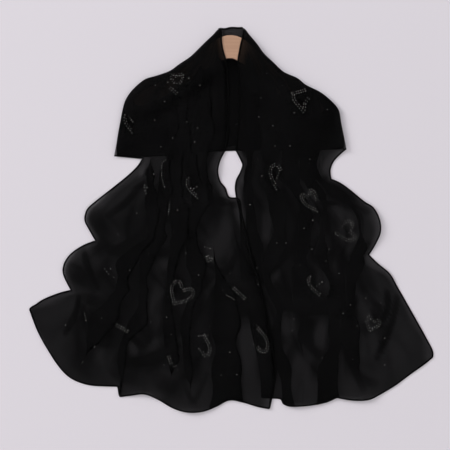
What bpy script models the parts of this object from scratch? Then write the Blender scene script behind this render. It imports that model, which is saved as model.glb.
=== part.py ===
"""Hijab shawl of sheer chiffon, laid flat round a wooden hanger.

The shawl lies on a table, its underside at z = 0, seen from above with the neck towards +Y. One panel of
cloth shows as three stretches: its middle lies behind the hanger, and its two ends fold forward over the
hanger's arms and come down in front, opening out to their full width at the short hems.

Each front is a loft of cross sections from its outer long hem to its inner long hem. The last section
bows out to the scalloped short hem. The cloth is a wall of even thickness that climbs over the hanger and
over the stretch beneath it, rises in lengthwise pleats and lifts in ruffle lobes.
"""

import math

import bpy
import numpy as np

CM = 0.01
MM = 0.001

# Driving sizes
CLOTH_WALL = 1.2 * MM
SEAM_GAP = 0.3 * MM
HANGER_THICK = 10.0 * MM
HANGER_EDGE_ROUND = 2.0 * MM
HANGER_TILT = math.radians(-3.0)
HANGER_BOTTOM = CLOTH_WALL + SEAM_GAP
HANGER_TOP = HANGER_BOTTOM + HANGER_THICK
OVER_BACK = CLOTH_WALL + SEAM_GAP
OVER_HANGER = HANGER_TOP + 0.5 * MM
CLOTH_COLOUR = (0.006, 0.006, 0.007)
WOOD_COLOUR = (0.40, 0.23, 0.156)

# How the cloth leaves the hanger: it drops to the back stretch within FOLD_DROP of the shoulder fold, and
# on the other side it bridges BRIDGE_START past the wood, then comes down over BRIDGE_FALL.
FOLD_DROP = 6.5 * MM
BRIDGE_START = 12.0 * MM
BRIDGE_FALL = 28.0 * MM

# Where the left front climbs on to the right one: below OVERLAP_TOP_Y, and OVERLAP_LEAD before its edge.
OVERLAP_TOP_Y = 7.2 * CM
OVERLAP_LEAD = 4.5 * CM
OVERLAP_RISE = 2.0 * CM

# The sections of a front that lie on its shoulder fold, and the extra columns beside its outer edge as
# shares of the first column.
SHOULDER_ROWS = 16
EDGE_COLUMNS = (0.33, 0.67)

# The hanger's arm from its middle to its tip: the middle line, and half of the arm's depth across it.
# Columns: x_cm, y_cm, half_depth_cm
HANGER_ARM = (
    (0.0, 39.3, 2.6),
    (2.3, 38.6, 2.4),
    (6.1, 35.9, 1.9),
    (9.5, 32.8, 1.8),
    (13.4, 29.9, 1.7),
    (17.6, 27.5, 1.6),
    (20.2, 26.3, 1.5),
)
HANGER_PIVOT = (0.0, 39.3)

# Cross sections of the left front, from the neck down.
# Columns: outer_x_cm, outer_y_cm, inner_x_cm, inner_y_cm, sharp, lies_on, hem_share
# sharp marks a cusp or corner of a hem, lies_on is the height in wall steps of what the section lies on,
# and hem_share is how far the section has bowed out to the short hem.
LEFT_SECTIONS = (
    (-2.9, 43.4, -2.5, 43.3, 0, 1, 0.0),
    (-4.2, 42.1, -2.3, 42.0, 0, 1, 0.0),
    (-6.0, 40.4, -2.2, 40.3, 0, 1, 0.0),
    (-7.7, 38.7, -1.9, 38.5, 0, 1, 0.0),
    (-9.4, 37.1, -1.3, 36.4, 0, 1, 0.0),
    (-11.8, 35.5, -1.0, 34.6, 0, 1, 0.0),
    (-14.0, 33.9, -0.8, 32.3, 0, 1, 0.0),
    (-16.9, 32.8, -0.7, 30.5, 0, 1, 0.0),
    (-19.7, 31.9, -0.6, 28.9, 0, 1, 0.0),
    (-22.4, 29.6, -0.6, 26.8, 0, 1, 0.0),
    (-24.0, 27.3, -0.6, 25.0, 0, 1, 0.0),
    (-24.7, 25.0, -0.65, 23.2, 0, 1, 0.0),
    (-25.2, 22.4, -0.7, 21.4, 0, 1, 0.0),
    (-25.7, 19.8, -0.75, 19.6, 0, 1, 0.0),
    (-26.1, 17.2, -1.0, 17.8, 0, 1, 0.0),
    (-26.6, 14.6, -1.3, 16.0, 1, 1, 0.0),
    (-20.1, 14.0, -1.7, 15.3, 1, 1, 0.0),
    (-21.3, 12.1, -2.6, 13.5, 0, 0, 0.0),
    (-23.8, 9.7, -3.1, 11.1, 0, 0, 0.0),
    (-28.3, 6.1, -2.6, 8.8, 0, 0, 0.0),
    (-32.2, 2.9, -1.4, 7.2, 0, 0, 0.0),
    (-33.1, 1.3, -0.5, 5.1, 0, 0, 0.0),
    (-33.2, -0.3, 1.8, 4.6, 0, 0, 0.0),
    (-32.2, -2.3, 2.4, 1.3, 0, 0, 0.0),
    (-30.8, -4.8, 3.4, -2.8, 1, 0, 0.0),
    (-33.8, -6.0, 4.0, -5.8, 0, 0, 0.0),
    (-36.5, -7.9, 4.7, -8.5, 0, 0, 0.0),
    (-38.0, -10.2, 5.4, -11.0, 0, 0, 0.0),
    (-38.1, -12.5, 6.2, -13.5, 0, 0, 0.0),
    (-36.4, -16.1, 7.0, -16.3, 1, 0, 0.0),
    (-38.8, -16.7, 7.7, -19.2, 0, 0, 0.1),
    (-41.3, -17.6, 8.3, -22.4, 0, 0, 0.22),
    (-43.2, -18.5, 8.8, -26.1, 0, 0, 0.4),
    (-44.5, -19.4, 9.5, -30.2, 0, 0, 0.6),
    (-45.4, -19.9, 10.2, -35.4, 0, 0, 0.8),
    (-45.9, -20.4, 8.7, -43.0, 1, 0, 1.0),
)

# Short hem of the left front, from its outer corner to its inner one. Columns: x_cm, y_cm
LEFT_SHORT_HEM = (
    (-45.9, -20.4),
    (-44.1, -25.1),
    (-41.6, -29.7),
    (-39.1, -33.5),
    (-36.5, -36.0),
    (-32.7, -37.5),
    (-28.8, -37.8),
    (-25.8, -37.9),
    (-25.4, -40.3),
    (-22.6, -39.9),
    (-19.7, -39.6),
    (-16.7, -40.8),
    (-13.5, -42.7),
    (-10.1, -43.7),
    (-6.5, -43.6),
    (-3.3, -42.4),
    (-0.3, -41.0),
    (3.1, -41.6),
    (6.1, -42.5),
    (8.7, -43.0),
)

# Cross sections of the right front, with the same columns.
RIGHT_SECTIONS = (
    (3.0, 43.4, 2.8, 43.1, 0, 1, 0.0),
    (4.3, 42.0, 2.7, 41.8, 0, 1, 0.0),
    (5.9, 40.1, 2.2, 39.8, 0, 1, 0.0),
    (7.5, 37.9, 1.9, 38.2, 0, 1, 0.0),
    (9.5, 36.0, 1.6, 36.4, 0, 1, 0.0),
    (12.0, 33.7, 1.7, 34.1, 0, 1, 0.0),
    (15.0, 32.3, 1.8, 31.9, 0, 1, 0.0),
    (17.0, 30.7, 1.9, 29.6, 0, 1, 0.0),
    (20.2, 29.1, 1.9, 27.7, 0, 1, 0.0),
    (22.5, 27.3, 1.8, 26.2, 0, 1, 0.0),
    (24.1, 25.6, 1.8, 24.6, 0, 1, 0.0),
    (24.7, 24.2, 1.8, 23.3, 0, 1, 0.0),
    (25.0, 22.2, 1.7, 21.7, 0, 1, 0.0),
    (25.4, 20.2, 1.5, 19.8, 0, 1, 0.0),
    (25.8, 18.2, 1.3, 17.8, 0, 1, 0.0),
    (26.2, 16.2, 1.1, 15.9, 1, 1, 0.0),
    (25.0, 15.2, 1.5, 15.2, 0, 1, 0.0),
    (23.3, 13.4, 2.3, 13.6, 0, 0, 0.0),
    (22.5, 11.3, 2.7, 12.4, 0, 0, 0.0),
    (22.7, 9.2, 2.1, 10.6, 1, 0, 0.0),
    (24.8, 8.3, 1.3, 9.1, 0, 0, 0.0),
    (27.3, 6.5, 1.0, 7.5, 0, 0, 0.0),
    (30.3, 4.0, 1.1, 6.1, 0, 0, 0.0),
    (32.3, 2.7, 1.4, 4.5, 0, 0, 0.0),
    (33.7, 0.0, 2.0, 1.5, 0, 0, 0.0),
    (33.9, -2.8, 2.2, -1.9, 0, 0, 0.0),
    (32.8, -5.5, 2.3, -5.1, 0, 0, 0.0),
    (31.3, -8.0, 2.4, -8.3, 1, 0, 0.0),
    (33.4, -10.1, 2.4, -11.0, 0, 0, 0.0),
    (36.0, -12.3, 2.6, -14.0, 0, 0, 0.0),
    (37.6, -15.0, 3.2, -17.2, 0, 0, 0.0),
    (39.6, -18.5, 4.0, -21.0, 0, 0, 0.1),
    (41.9, -22.6, 4.8, -25.6, 0, 0, 0.25),
    (44.2, -26.7, 6.0, -30.8, 0, 0, 0.5),
    (45.8, -29.8, 6.8, -35.6, 0, 0, 0.75),
    (45.9, -31.3, 7.0, -40.5, 1, 0, 1.0),
)

# Short hem of the right front, from its outer corner to its inner one. Columns: x_cm, y_cm
RIGHT_SHORT_HEM = (
    (45.9, -31.3),
    (44.2, -32.7),
    (40.7, -35.2),
    (37.3, -37.7),
    (33.9, -39.7),
    (31.2, -40.9),
    (27.5, -41.0),
    (24.1, -40.4),
    (21.6, -41.5),
    (17.9, -42.2),
    (13.8, -42.4),
    (12.0, -41.9),
    (11.3, -40.8),
    (9.2, -40.6),
    (7.0, -40.5),
)

# Pleats and creases, whose hidden layers share the thickness of the ridge. Each runs through three points.
# Columns: x0_cm, y0_cm, x1_cm, y1_cm, x2_cm, y2_cm, half_width_mm, height_mm
LEFT_PLEATS = (
    (-11.9, 30.5, -14.9, 17.5, -18.3, -3.7, 16, 3.0),
    (-10.6, 3.4, -15.1, -3.5, -18.5, -6.9, 14, 2.5),
    (-7.1, 36.0, -6.0, 25.0, -5.5, 13.6, 14, 2.0),
    (-20.8, 7.9, -24.2, 3.8, -27.7, 1.1, 11, 2.4),
    (-30.8, -4.9, -27.4, -6.7, -24.9, -8.3, 10, 2.0),
    (-33.8, -6.9, -33.1, -9.6, -31.1, -12.6, 10, 2.0),
    (-37.2, -9.6, -33.6, -12.6, -31.1, -16.0, 10, 2.2),
    (-36.5, -16.3, -34.0, -17.4, -31.8, -18.5, 9, 2.0),
    (-34.7, -18.3, -35.9, -22.0, -37.7, -25.6, 9, 1.6),
    (-28.8, -25.1, -32.2, -28.6, -34.5, -35.4, 12, 2.4),
    (-25.8, -25.1, -25.8, -31.5, -25.6, -37.9, 10, 2.6),
    (-22.6, -11.0, -22.4, -14.9, -22.2, -18.8, 12, 2.2),
    (-20.4, -16.0, -20.4, -20.6, -20.4, -25.6, 10, 2.2),
    (-15.1, -20.6, -15.1, -24.7, -15.3, -29.3, 10, 2.0),
    (-4.4, -12.6, -7.1, -18.3, -9.9, -24.7, 13, 2.6),
    (-11.0, -37.7, -8.5, -41.1, -5.5, -35.4, 10, 2.2),
    (-1.2, -25.1, -1.2, -33.1, -1.2, -40.4, 26, 3.0),
    (-25.4, -32.4, -19.0, -31.1, -12.8, -29.3, 9, 1.6),
    (5.2, -9.6, 3.6, -14.2, 0.2, -16.5, 9, 2.0),
    (2.0, -6.9, 0.6, -9.6, -0.8, -13.1, 9, 1.8),
)
RIGHT_PLEATS = (
    (7.7, 30.7, 7.9, 23.2, 7.9, 15.4, 11, 2.6),
    (11.1, 28.4, 13.8, 22.3, 15.7, 15.4, 24, 3.2),
    (8.8, 3.4, 10.6, -1.4, 12.0, -6.9, 12, 2.4),
    (13.4, -19.0, 20.2, -19.2, 27.1, -19.4, 12, 2.2),
    (12.2, -27.9, 12.4, -34.3, 13.8, -40.2, 12, 2.8),
    (20.7, -25.1, 21.6, -32.4, 22.5, -40.4, 18, 3.0),
    (24.3, -25.1, 26.8, -32.0, 30.0, -38.4, 10, 2.6),
    (27.7, -11.5, 28.0, -20.6, 28.7, -29.7, 9, 2.2),
    (35.5, -17.2, 36.0, -21.0, 34.6, -24.0, 9, 1.8),
    (36.9, -20.6, 36.6, -27.0, 33.4, -32.0, 9, 2.0),
    (28.2, -5.3, 30.0, -7.4, 32.1, -9.6, 9, 2.2),
    (19.8, 7.9, 20.7, -1.2, 21.6, -11.5, 14, 2.4),
    (13.8, -8.0, 15.7, -16.0, 16.8, -25.1, 14, 2.2),
)

# Ruffle lobes and scallops, where the hem lifts off the table. Columns: x_cm, y_cm, radius_cm, height_mm
LEFT_LIFTS = (
    (-29.5, 1.1, 6.5, 6.0),
    (-35.0, -11.0, 5.5, 5.0),
    (-41.5, -25.0, 6.0, 3.5),
    (-9.4, -41.1, 6.5, 3.5),
)
RIGHT_LIFTS = (
    (29.8, -1.2, 7.5, 6.0),
    (38.5, -22.5, 7.0, 4.0),
    (29.0, -39.0, 5.0, 3.5),
    (17.0, -41.1, 5.0, 2.5),
)

# Upper hem of the back stretch at the neck. Columns: x_cm, y_cm
NECK_HEM = (
    (-2.9, 43.45),
    (-1.4, 43.5),
    (0.0, 43.79),
    (1.5, 43.72),
    (3.0, 43.6),
)

# Lower hem of the back stretch, from the left shoulder corner to the right one. Columns: x_cm, y_cm
BACK_HEM = (
    (-26.5, 14.75),
    (-20.0, 14.45),
    (-13.0, 14.95),
    (-5.5, 15.6),
    (1.0, 15.9),
    (11.0, 15.95),
    (20.0, 16.05),
    (26.1, 16.25),
)


def smooth_step(value):
    """Rises from 0 to 1 with level ends as value goes from 0 to 1."""
    value = np.clip(value, 0.0, 1.0)
    return value * value * (3.0 - 2.0 * value)


def through_points(points, steps, sharp=None):
    """Smooth line through the points, steps samples to a span; its slope breaks at sharp points."""
    points = np.asarray(points, dtype=float)
    count = len(points)
    sharp = np.zeros(count, bool) if sharp is None else np.asarray(sharp, bool)
    rows = []
    for i in range(count - 1):
        start, end = points[i], points[i + 1]
        before = start if i == 0 or sharp[i] else points[i - 1]
        after = end if i == count - 2 or sharp[i + 1] else points[i + 2]
        slope_0 = 0.5 * (end - before)
        slope_1 = 0.5 * (after - start)
        for k in range(steps):
            t = k / steps
            rows.append(
                (2 * t**3 - 3 * t**2 + 1) * start
                + (t**3 - 2 * t**2 + t) * slope_0
                + (3 * t**2 - 2 * t**3) * end
                + (t**3 - t**2) * slope_1
            )
    rows.append(points[-1])
    return np.array(rows)


def distance_to_line(x, y, line):
    """Distance from each point to a bent line, and how far along the line it lies, from 0 to 1."""
    line = np.asarray(line, dtype=float)
    best = np.full(x.shape, 1e9)
    along = np.zeros(x.shape)
    spans = len(line) - 1
    for i in range(spans):
        span = line[i + 1] - line[i]
        t = ((x - line[i, 0]) * span[0] + (y - line[i, 1]) * span[1]) / (span @ span)
        t = np.clip(t, 0.0, 1.0)
        gap = np.hypot(x - line[i, 0] - t * span[0], y - line[i, 1] - t * span[1])
        nearer = gap < best
        best = np.where(nearer, gap, best)
        along = np.where(nearer, (i + t) / spans, along)
    return best, along


def hanger_line():
    """Middle line of both arms, turned by the hanger's tilt, with the half depth: x, y, half depth."""
    arm = np.array(HANGER_ARM)
    mirrored = arm[:0:-1] * (-1.0, 1.0, 1.0)
    line = through_points(np.vstack((mirrored, arm)), 3)
    x = line[:, 0] - HANGER_PIVOT[0]
    y = line[:, 1] - HANGER_PIVOT[1]
    turned_x = HANGER_PIVOT[0] + x * math.cos(HANGER_TILT) - y * math.sin(HANGER_TILT)
    turned_y = HANGER_PIVOT[1] + x * math.sin(HANGER_TILT) + y * math.cos(HANGER_TILT)
    return np.column_stack((turned_x, turned_y, line[:, 2])) * CM


def over_hanger(x, y):
    """Share of the hanger's height that cloth over it takes: 1 on the wood, 0 a little way outside it."""
    line = hanger_line()
    gap, along = distance_to_line(x, y, line[:, :2])
    half_depth = np.interp(along, np.linspace(0.0, 1.0, len(line)), line[:, 2])
    outside = gap - half_depth
    return 1.0 - smooth_step((outside - BRIDGE_START) / BRIDGE_FALL)


def pleat_height(x, y, pleats):
    """Height that the pleats add: a soft ridge along each, which dies away at both of its ends."""
    height = np.zeros(x.shape)
    for x0, y0, x1, y1, x2, y2, half_width, ridge in pleats:
        route = through_points(np.array(((x0, y0), (x1, y1), (x2, y2))) * CM, 6)
        gap, along = distance_to_line(x, y, route)
        across = smooth_step(1.0 - gap / (half_width * MM))
        ends = smooth_step(np.minimum(along, 1.0 - along) * 5.0 + 0.35)
        height = np.maximum(height, ridge * MM * across * ends)
    return height


def lift_height(x, y, lifts):
    """Height that the ruffle lobes lift the wall off the table."""
    height = np.zeros(x.shape)
    for centre_x, centre_y, radius, lift in lifts:
        gap = np.hypot(x - centre_x * CM, y - centre_y * CM)
        height = np.maximum(height, lift * MM * smooth_step(1.0 - gap / (radius * CM)))
    return height


def front_plan(sections, short_hem, hem_steps):
    """Plan of a front: x, y and the level it lies on, a row for each section, a column for each warp."""
    sections = np.array(sections)
    rows = through_points(sections, 1, sections[:, 4])
    outer = rows[:, 0:2]
    inner = rows[:, 2:4]
    hem = through_points(short_hem, hem_steps)
    lengths = np.hypot(*np.diff(hem, axis=0).T)
    across = np.concatenate(((0.0,), np.cumsum(lengths))) / lengths.sum()
    extra = across[1] * np.array(EDGE_COLUMNS)
    hem_x = np.interp(extra, across, hem[:, 0])
    hem_y = np.interp(extra, across, hem[:, 1])
    hem = np.vstack((hem[:1], np.column_stack((hem_x, hem_y)), hem[1:]))
    across = np.concatenate((across[:1], extra, across[1:]))
    chord = outer[-1] + across[:, None] * (inner[-1] - outer[-1])
    bow = hem - chord
    plan = outer[:, None, :] + across[None, :, None] * (inner - outer)[:, None, :]
    plan = plan + rows[:, 6][:, None, None] * bow[None, :, :]
    level = np.repeat(rows[:, 5][:, None], len(across), axis=1)
    return plan[:, :, 0] * CM, plan[:, :, 1] * CM, level


def solid_from_grids(name, x, y, low, high):
    """Closed wall between two height grids over one plan, as a new object."""
    rows, columns = x.shape
    count = rows * columns
    index = np.arange(count).reshape(rows, columns)
    points = np.concatenate(
        (
            np.column_stack((x.ravel(), y.ravel(), high.ravel())),
            np.column_stack((x.ravel(), y.ravel(), low.ravel())),
        )
    )
    corners = (index[:-1, :-1], index[1:, :-1], index[1:, 1:], index[:-1, 1:])
    top = np.stack(corners, axis=-1).reshape(-1, 4)
    bottom = top[:, ::-1] + count
    rim = np.concatenate((index[0, :], index[1:, -1], index[-1, -2::-1], index[-2:0:-1, 0]))
    following = np.roll(rim, -1)
    side = np.column_stack((rim, following, following + count, rim + count))
    faces = np.concatenate((top, bottom, side))
    mesh = bpy.data.meshes.new(name)
    mesh.from_pydata(points.tolist(), [], faces.tolist())
    if area_sign(x, y) < 0:
        mesh.flip_normals()
    mesh.validate()
    mesh.shade_smooth()
    mesh.set_sharp_from_angle(angle=math.radians(50.0))
    item = bpy.data.objects.new(name, mesh)
    shawl.objects.link(item)
    return item


def area_sign(x, y):
    """Positive where the grid's faces, as listed, turn anticlockwise seen from above."""
    down = np.stack((x[1:, :-1] - x[:-1, :-1], y[1:, :-1] - y[:-1, :-1]))
    right = np.stack((x[:-1, 1:] - x[:-1, :-1], y[:-1, 1:] - y[:-1, :-1]))
    return float(np.sum(down[0] * right[1] - down[1] * right[0]))


def paint(item, name, colour, roughness, alpha=1.0):
    """Gives the object its own Principled material."""
    material = bpy.data.materials.new(name)
    material.use_nodes = True
    shader = material.node_tree.nodes["Principled BSDF"]
    shader.inputs["Base Color"].default_value = (*colour, 1.0)
    shader.inputs["Roughness"].default_value = roughness
    shader.inputs["Metallic"].default_value = 0.0
    shader.inputs["Alpha"].default_value = alpha
    item.data.materials.append(material)


def inner_edge_of_right_front(y):
    """x of the right front's inner long hem at each y."""
    table = np.array(RIGHT_SECTIONS) * CM
    return np.interp(-y, -table[:, 3], table[:, 2])


def front_heights(x, y, level, fold, pleats, lifts, over_right):
    """Underside and top of a front over its plan, whose edge drops to the back stretch at the fold."""
    under = OVER_BACK * level
    if over_right:
        distance_in = x - inner_edge_of_right_front(y)
        below_gap = smooth_step((OVERLAP_TOP_Y - y) / OVERLAP_RISE)
        lapped = smooth_step((distance_in + OVERLAP_LEAD) / OVERLAP_RISE)
        under = np.maximum(under, OVER_BACK * below_gap * lapped)
    from_fold = distance_to_line(x, y, fold)[0]
    wood = over_hanger(x, y) * smooth_step(from_fold / FOLD_DROP)
    under = under + (OVER_HANGER - OVER_BACK) * wood
    under = under + lift_height(x, y, lifts)
    slope_y, slope_x = slopes(x, y, under)
    wall = CLOTH_WALL * np.minimum(np.sqrt(1.0 + slope_x**2 + slope_y**2), 2.0)
    top = under + wall + pleat_height(x, y, pleats)
    return under, top


def slopes(x, y, height):
    """Slope of the height over a skewed plan grid, along y and along x."""
    dx_row, dx_col = np.gradient(x)
    dy_row, dy_col = np.gradient(y)
    dh_row, dh_col = np.gradient(height)
    area = dx_row * dy_col - dx_col * dy_row
    area = np.where(np.abs(area) < 1e-9, 1e-9, area)
    slope_x = (dh_row * dy_col - dh_col * dy_row) / area
    slope_y = (dh_col * dx_row - dh_row * dx_col) / area
    return slope_y, slope_x


def make_front(name, sections, short_hem, pleats, lifts, over_right):
    """One front of the shawl, from its shoulder fold to its short hem."""
    x, y, level = front_plan(sections, short_hem, 2)
    fold = np.array(sections)[:SHOULDER_ROWS, :2] * CM
    under, top = front_heights(x, y, level, fold, pleats, lifts, over_right)
    item = solid_from_grids(name, x, y, under, top)
    paint(item, name, CLOTH_COLOUR, 0.8)
    return item


def flat_plate(name, outline, thickness, bottom, edge_round):
    """Plate of an even thickness with the outline given, from a filled 2D curve; its rims are rounded."""
    curve = bpy.data.curves.new(name, "CURVE")
    curve.dimensions = "2D"
    curve.fill_mode = "BOTH"
    curve.extrude = thickness / 2.0
    spline = curve.splines.new("POLY")
    spline.points.add(len(outline) - 1)
    spline.points.foreach_set("co", [v for x, y in outline for v in (x, y, 0.0, 1.0)])
    spline.use_cyclic_u = True
    item = bpy.data.objects.new(name, curve)
    item.location.z = bottom + thickness / 2.0
    shawl.objects.link(item)
    weld = item.modifiers.new("Weld", "WELD")
    weld.merge_threshold = 0.00002
    if edge_round:
        bevel = item.modifiers.new("Bevel", "BEVEL")
        bevel.width = edge_round
        bevel.segments = 2
        bevel.limit_method = "ANGLE"
        bevel.angle_limit = math.radians(60.0)
    return item


def make_back_stretch():
    """The shawl's middle, flat on the table behind the hanger, from one shoulder fold to the other."""
    left_fold = np.array(LEFT_SECTIONS)[:SHOULDER_ROWS, :2]
    right_fold = np.array(RIGHT_SECTIONS)[:SHOULDER_ROWS, :2]
    upper = np.vstack((left_fold[:0:-1], NECK_HEM, right_fold[1:]))
    outline = np.vstack((upper[1:-1], np.array(BACK_HEM)[::-1])) * CM
    item = flat_plate("back_stretch", outline, CLOTH_WALL, 0.0, 0.0)
    paint(item, "back_stretch", CLOTH_COLOUR, 0.8)


def make_hanger():
    """The wooden hanger: two arms of even thickness in one piece, with round tips and rounded rims."""
    line = hanger_line()
    ahead = np.gradient(line[:, :2], axis=0)
    ahead /= np.hypot(ahead[:, 0], ahead[:, 1])[:, None]
    across = np.column_stack((-ahead[:, 1], ahead[:, 0]))
    half = line[:, 2:3]
    upper = line[:, :2] + across * half
    lower = line[:, :2] - across * half
    turns = np.radians(np.linspace(90.0, -90.0, 7))[1:-1]
    tips = []
    for end, forward, side, radius in (
        (line[-1, :2], ahead[-1], across[-1], half[-1, 0]),
        (line[0, :2], -ahead[0], -across[0], half[0, 0]),
    ):
        tips.append(
            np.array([end + radius * (math.cos(a) * forward + math.sin(a) * side) for a in turns])
        )
    outline = np.vstack((upper, tips[0], lower[::-1], tips[1]))
    item = flat_plate("hanger", outline, HANGER_THICK, HANGER_BOTTOM, HANGER_EDGE_ROUND)
    paint(item, "hanger", WOOD_COLOUR, 0.5)


for old in list(bpy.data.objects):
    bpy.data.objects.remove(old, do_unlink=True)

shawl = bpy.data.collections.new("hijab_on_hanger")
bpy.context.scene.collection.children.link(shawl)

make_back_stretch()
make_hanger()
make_front("left_front", LEFT_SECTIONS, LEFT_SHORT_HEM, LEFT_PLEATS, LEFT_LIFTS, True)
make_front("right_front", RIGHT_SECTIONS, RIGHT_SHORT_HEM, RIGHT_PLEATS, RIGHT_LIFTS, False)
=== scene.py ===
"""Hijab shawl of sheer black chiffon, laid flat round a wooden hanger and seen from straight above."""
import math

import bpy
import numpy as np
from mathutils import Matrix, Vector
from mathutils.bvhtree import BVHTree


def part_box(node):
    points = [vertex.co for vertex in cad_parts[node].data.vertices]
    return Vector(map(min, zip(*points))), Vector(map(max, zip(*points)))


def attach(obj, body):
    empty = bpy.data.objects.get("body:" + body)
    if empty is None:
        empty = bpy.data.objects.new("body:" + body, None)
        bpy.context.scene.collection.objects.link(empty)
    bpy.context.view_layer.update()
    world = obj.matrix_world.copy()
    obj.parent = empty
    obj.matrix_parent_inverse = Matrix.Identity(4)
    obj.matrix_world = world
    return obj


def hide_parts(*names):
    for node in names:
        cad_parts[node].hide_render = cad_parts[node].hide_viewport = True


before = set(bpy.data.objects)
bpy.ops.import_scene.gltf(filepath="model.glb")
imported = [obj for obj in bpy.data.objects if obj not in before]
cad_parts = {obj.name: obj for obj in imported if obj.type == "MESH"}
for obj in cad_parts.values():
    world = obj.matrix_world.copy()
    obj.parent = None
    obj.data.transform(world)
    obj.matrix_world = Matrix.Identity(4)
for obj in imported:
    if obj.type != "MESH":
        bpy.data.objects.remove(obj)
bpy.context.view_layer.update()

# Camera. It hangs straight over the table, far enough for little perspective, with the neck at the top.
CM = 0.01
CAMERA_AIM = (-1.4 * CM, -1.2 * CM)
CAMERA_HEIGHT = 2.6
VIEW_WIDTH = 1.026
SENSOR_WIDTH = 36.0


def put_in_scene(name, data):
    """A new object of the scene for a mesh, a light or a camera."""
    item = bpy.data.objects.new(name, data)
    bpy.context.scene.collection.objects.link(item)
    return item


camera_data = bpy.data.cameras.new("camera")
camera_data.sensor_width = SENSOR_WIDTH
camera_data.lens = SENSOR_WIDTH * CAMERA_HEIGHT / VIEW_WIDTH
camera = put_in_scene("camera", camera_data)
camera.location = (*CAMERA_AIM, CAMERA_HEIGHT)
bpy.context.scene.camera = camera


# The plan of each front. A front is one end of the shawl, from its fold over the hanger's arm to its short
# hem. Cross sections run from the outer long hem to the inner long hem, and the last of them bow out to
# the scalloped short hem by the shares in BOWS. Both edges turn a corner where sharp is 1.
# Columns: outer_x_cm, outer_y_cm, inner_x_cm, inner_y_cm, sharp
LEFT_SECTIONS = (
    (-2.9, 43.4, -2.5, 43.3, 0), (-4.2, 42.1, -2.3, 42.0, 0), (-6.0, 40.4, -2.2, 40.3, 0),
    (-7.7, 38.7, -1.9, 38.5, 0), (-9.4, 37.1, -1.3, 36.4, 0), (-11.8, 35.5, -1.0, 34.6, 0),
    (-14.0, 33.9, -0.8, 32.3, 0), (-16.9, 32.8, -0.7, 30.5, 0), (-19.7, 31.9, -0.6, 28.9, 0),
    (-22.4, 29.6, -0.6, 26.8, 0), (-24.0, 27.3, -0.6, 25.0, 0), (-24.7, 25.0, -0.65, 23.2, 0),
    (-25.2, 22.4, -0.7, 21.4, 0), (-25.7, 19.8, -0.75, 19.6, 0), (-26.1, 17.2, -1.0, 17.8, 0),
    (-26.6, 14.6, -1.3, 16.0, 1), (-20.1, 14.0, -1.7, 15.3, 1), (-21.3, 12.1, -2.6, 13.5, 0),
    (-23.8, 9.7, -3.1, 11.1, 0), (-28.3, 6.1, -2.6, 8.8, 0), (-32.2, 2.9, -1.4, 7.2, 0),
    (-33.1, 1.3, -0.5, 5.1, 0), (-33.2, -0.3, 1.8, 4.6, 0), (-32.2, -2.3, 2.4, 1.3, 0),
    (-30.8, -4.8, 3.4, -2.8, 1), (-33.8, -6.0, 4.0, -5.8, 0), (-36.5, -7.9, 4.7, -8.5, 0),
    (-38.0, -10.2, 5.4, -11.0, 0), (-38.1, -12.5, 6.2, -13.5, 0), (-36.4, -16.1, 7.0, -16.3, 1),
    (-38.8, -16.7, 7.7, -19.2, 0), (-41.3, -17.6, 8.3, -22.4, 0), (-43.2, -18.5, 8.8, -26.1, 0),
    (-44.5, -19.4, 9.5, -30.2, 0), (-45.4, -19.9, 10.2, -35.4, 0), (-45.9, -20.4, 8.7, -43.0, 1),
)
RIGHT_SECTIONS = (
    (3.0, 43.4, 2.8, 43.1, 0), (4.3, 42.0, 2.7, 41.8, 0), (5.9, 40.1, 2.2, 39.8, 0),
    (7.5, 37.9, 1.9, 38.2, 0), (9.5, 36.0, 1.6, 36.4, 0), (12.0, 33.7, 1.7, 34.1, 0),
    (15.0, 32.3, 1.8, 31.9, 0), (17.0, 30.7, 1.9, 29.6, 0), (20.2, 29.1, 1.9, 27.7, 0),
    (22.5, 27.3, 1.8, 26.2, 0), (24.1, 25.6, 1.8, 24.6, 0), (24.7, 24.2, 1.8, 23.3, 0),
    (25.0, 22.2, 1.7, 21.7, 0), (25.4, 20.2, 1.5, 19.8, 0), (25.8, 18.2, 1.3, 17.8, 0),
    (26.2, 16.2, 1.1, 15.9, 1), (25.0, 15.2, 1.5, 15.2, 0), (23.3, 13.4, 2.3, 13.6, 0),
    (22.5, 11.3, 2.7, 12.4, 0), (22.7, 9.2, 2.1, 10.6, 1), (24.8, 8.3, 1.3, 9.1, 0),
    (27.3, 6.5, 1.0, 7.5, 0), (30.3, 4.0, 1.1, 6.1, 0), (32.3, 2.7, 1.4, 4.5, 0),
    (33.7, 0.0, 2.0, 1.5, 0), (33.9, -2.8, 2.2, -1.9, 0), (32.8, -5.5, 2.3, -5.1, 0),
    (31.3, -8.0, 2.4, -8.3, 1), (33.4, -10.1, 2.4, -11.0, 0), (36.0, -12.3, 2.6, -14.0, 0),
    (37.6, -15.0, 3.2, -17.2, 0), (39.6, -18.5, 4.0, -21.0, 0), (41.9, -22.6, 4.8, -25.6, 0),
    (44.2, -26.7, 6.0, -30.8, 0), (45.8, -29.8, 6.8, -35.6, 0), (45.9, -31.3, 7.0, -40.5, 1),
)
LEFT_BOWS = (0.1, 0.22, 0.4, 0.6, 0.8, 1.0)
RIGHT_BOWS = (0.1, 0.25, 0.5, 0.75, 1.0)

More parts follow.
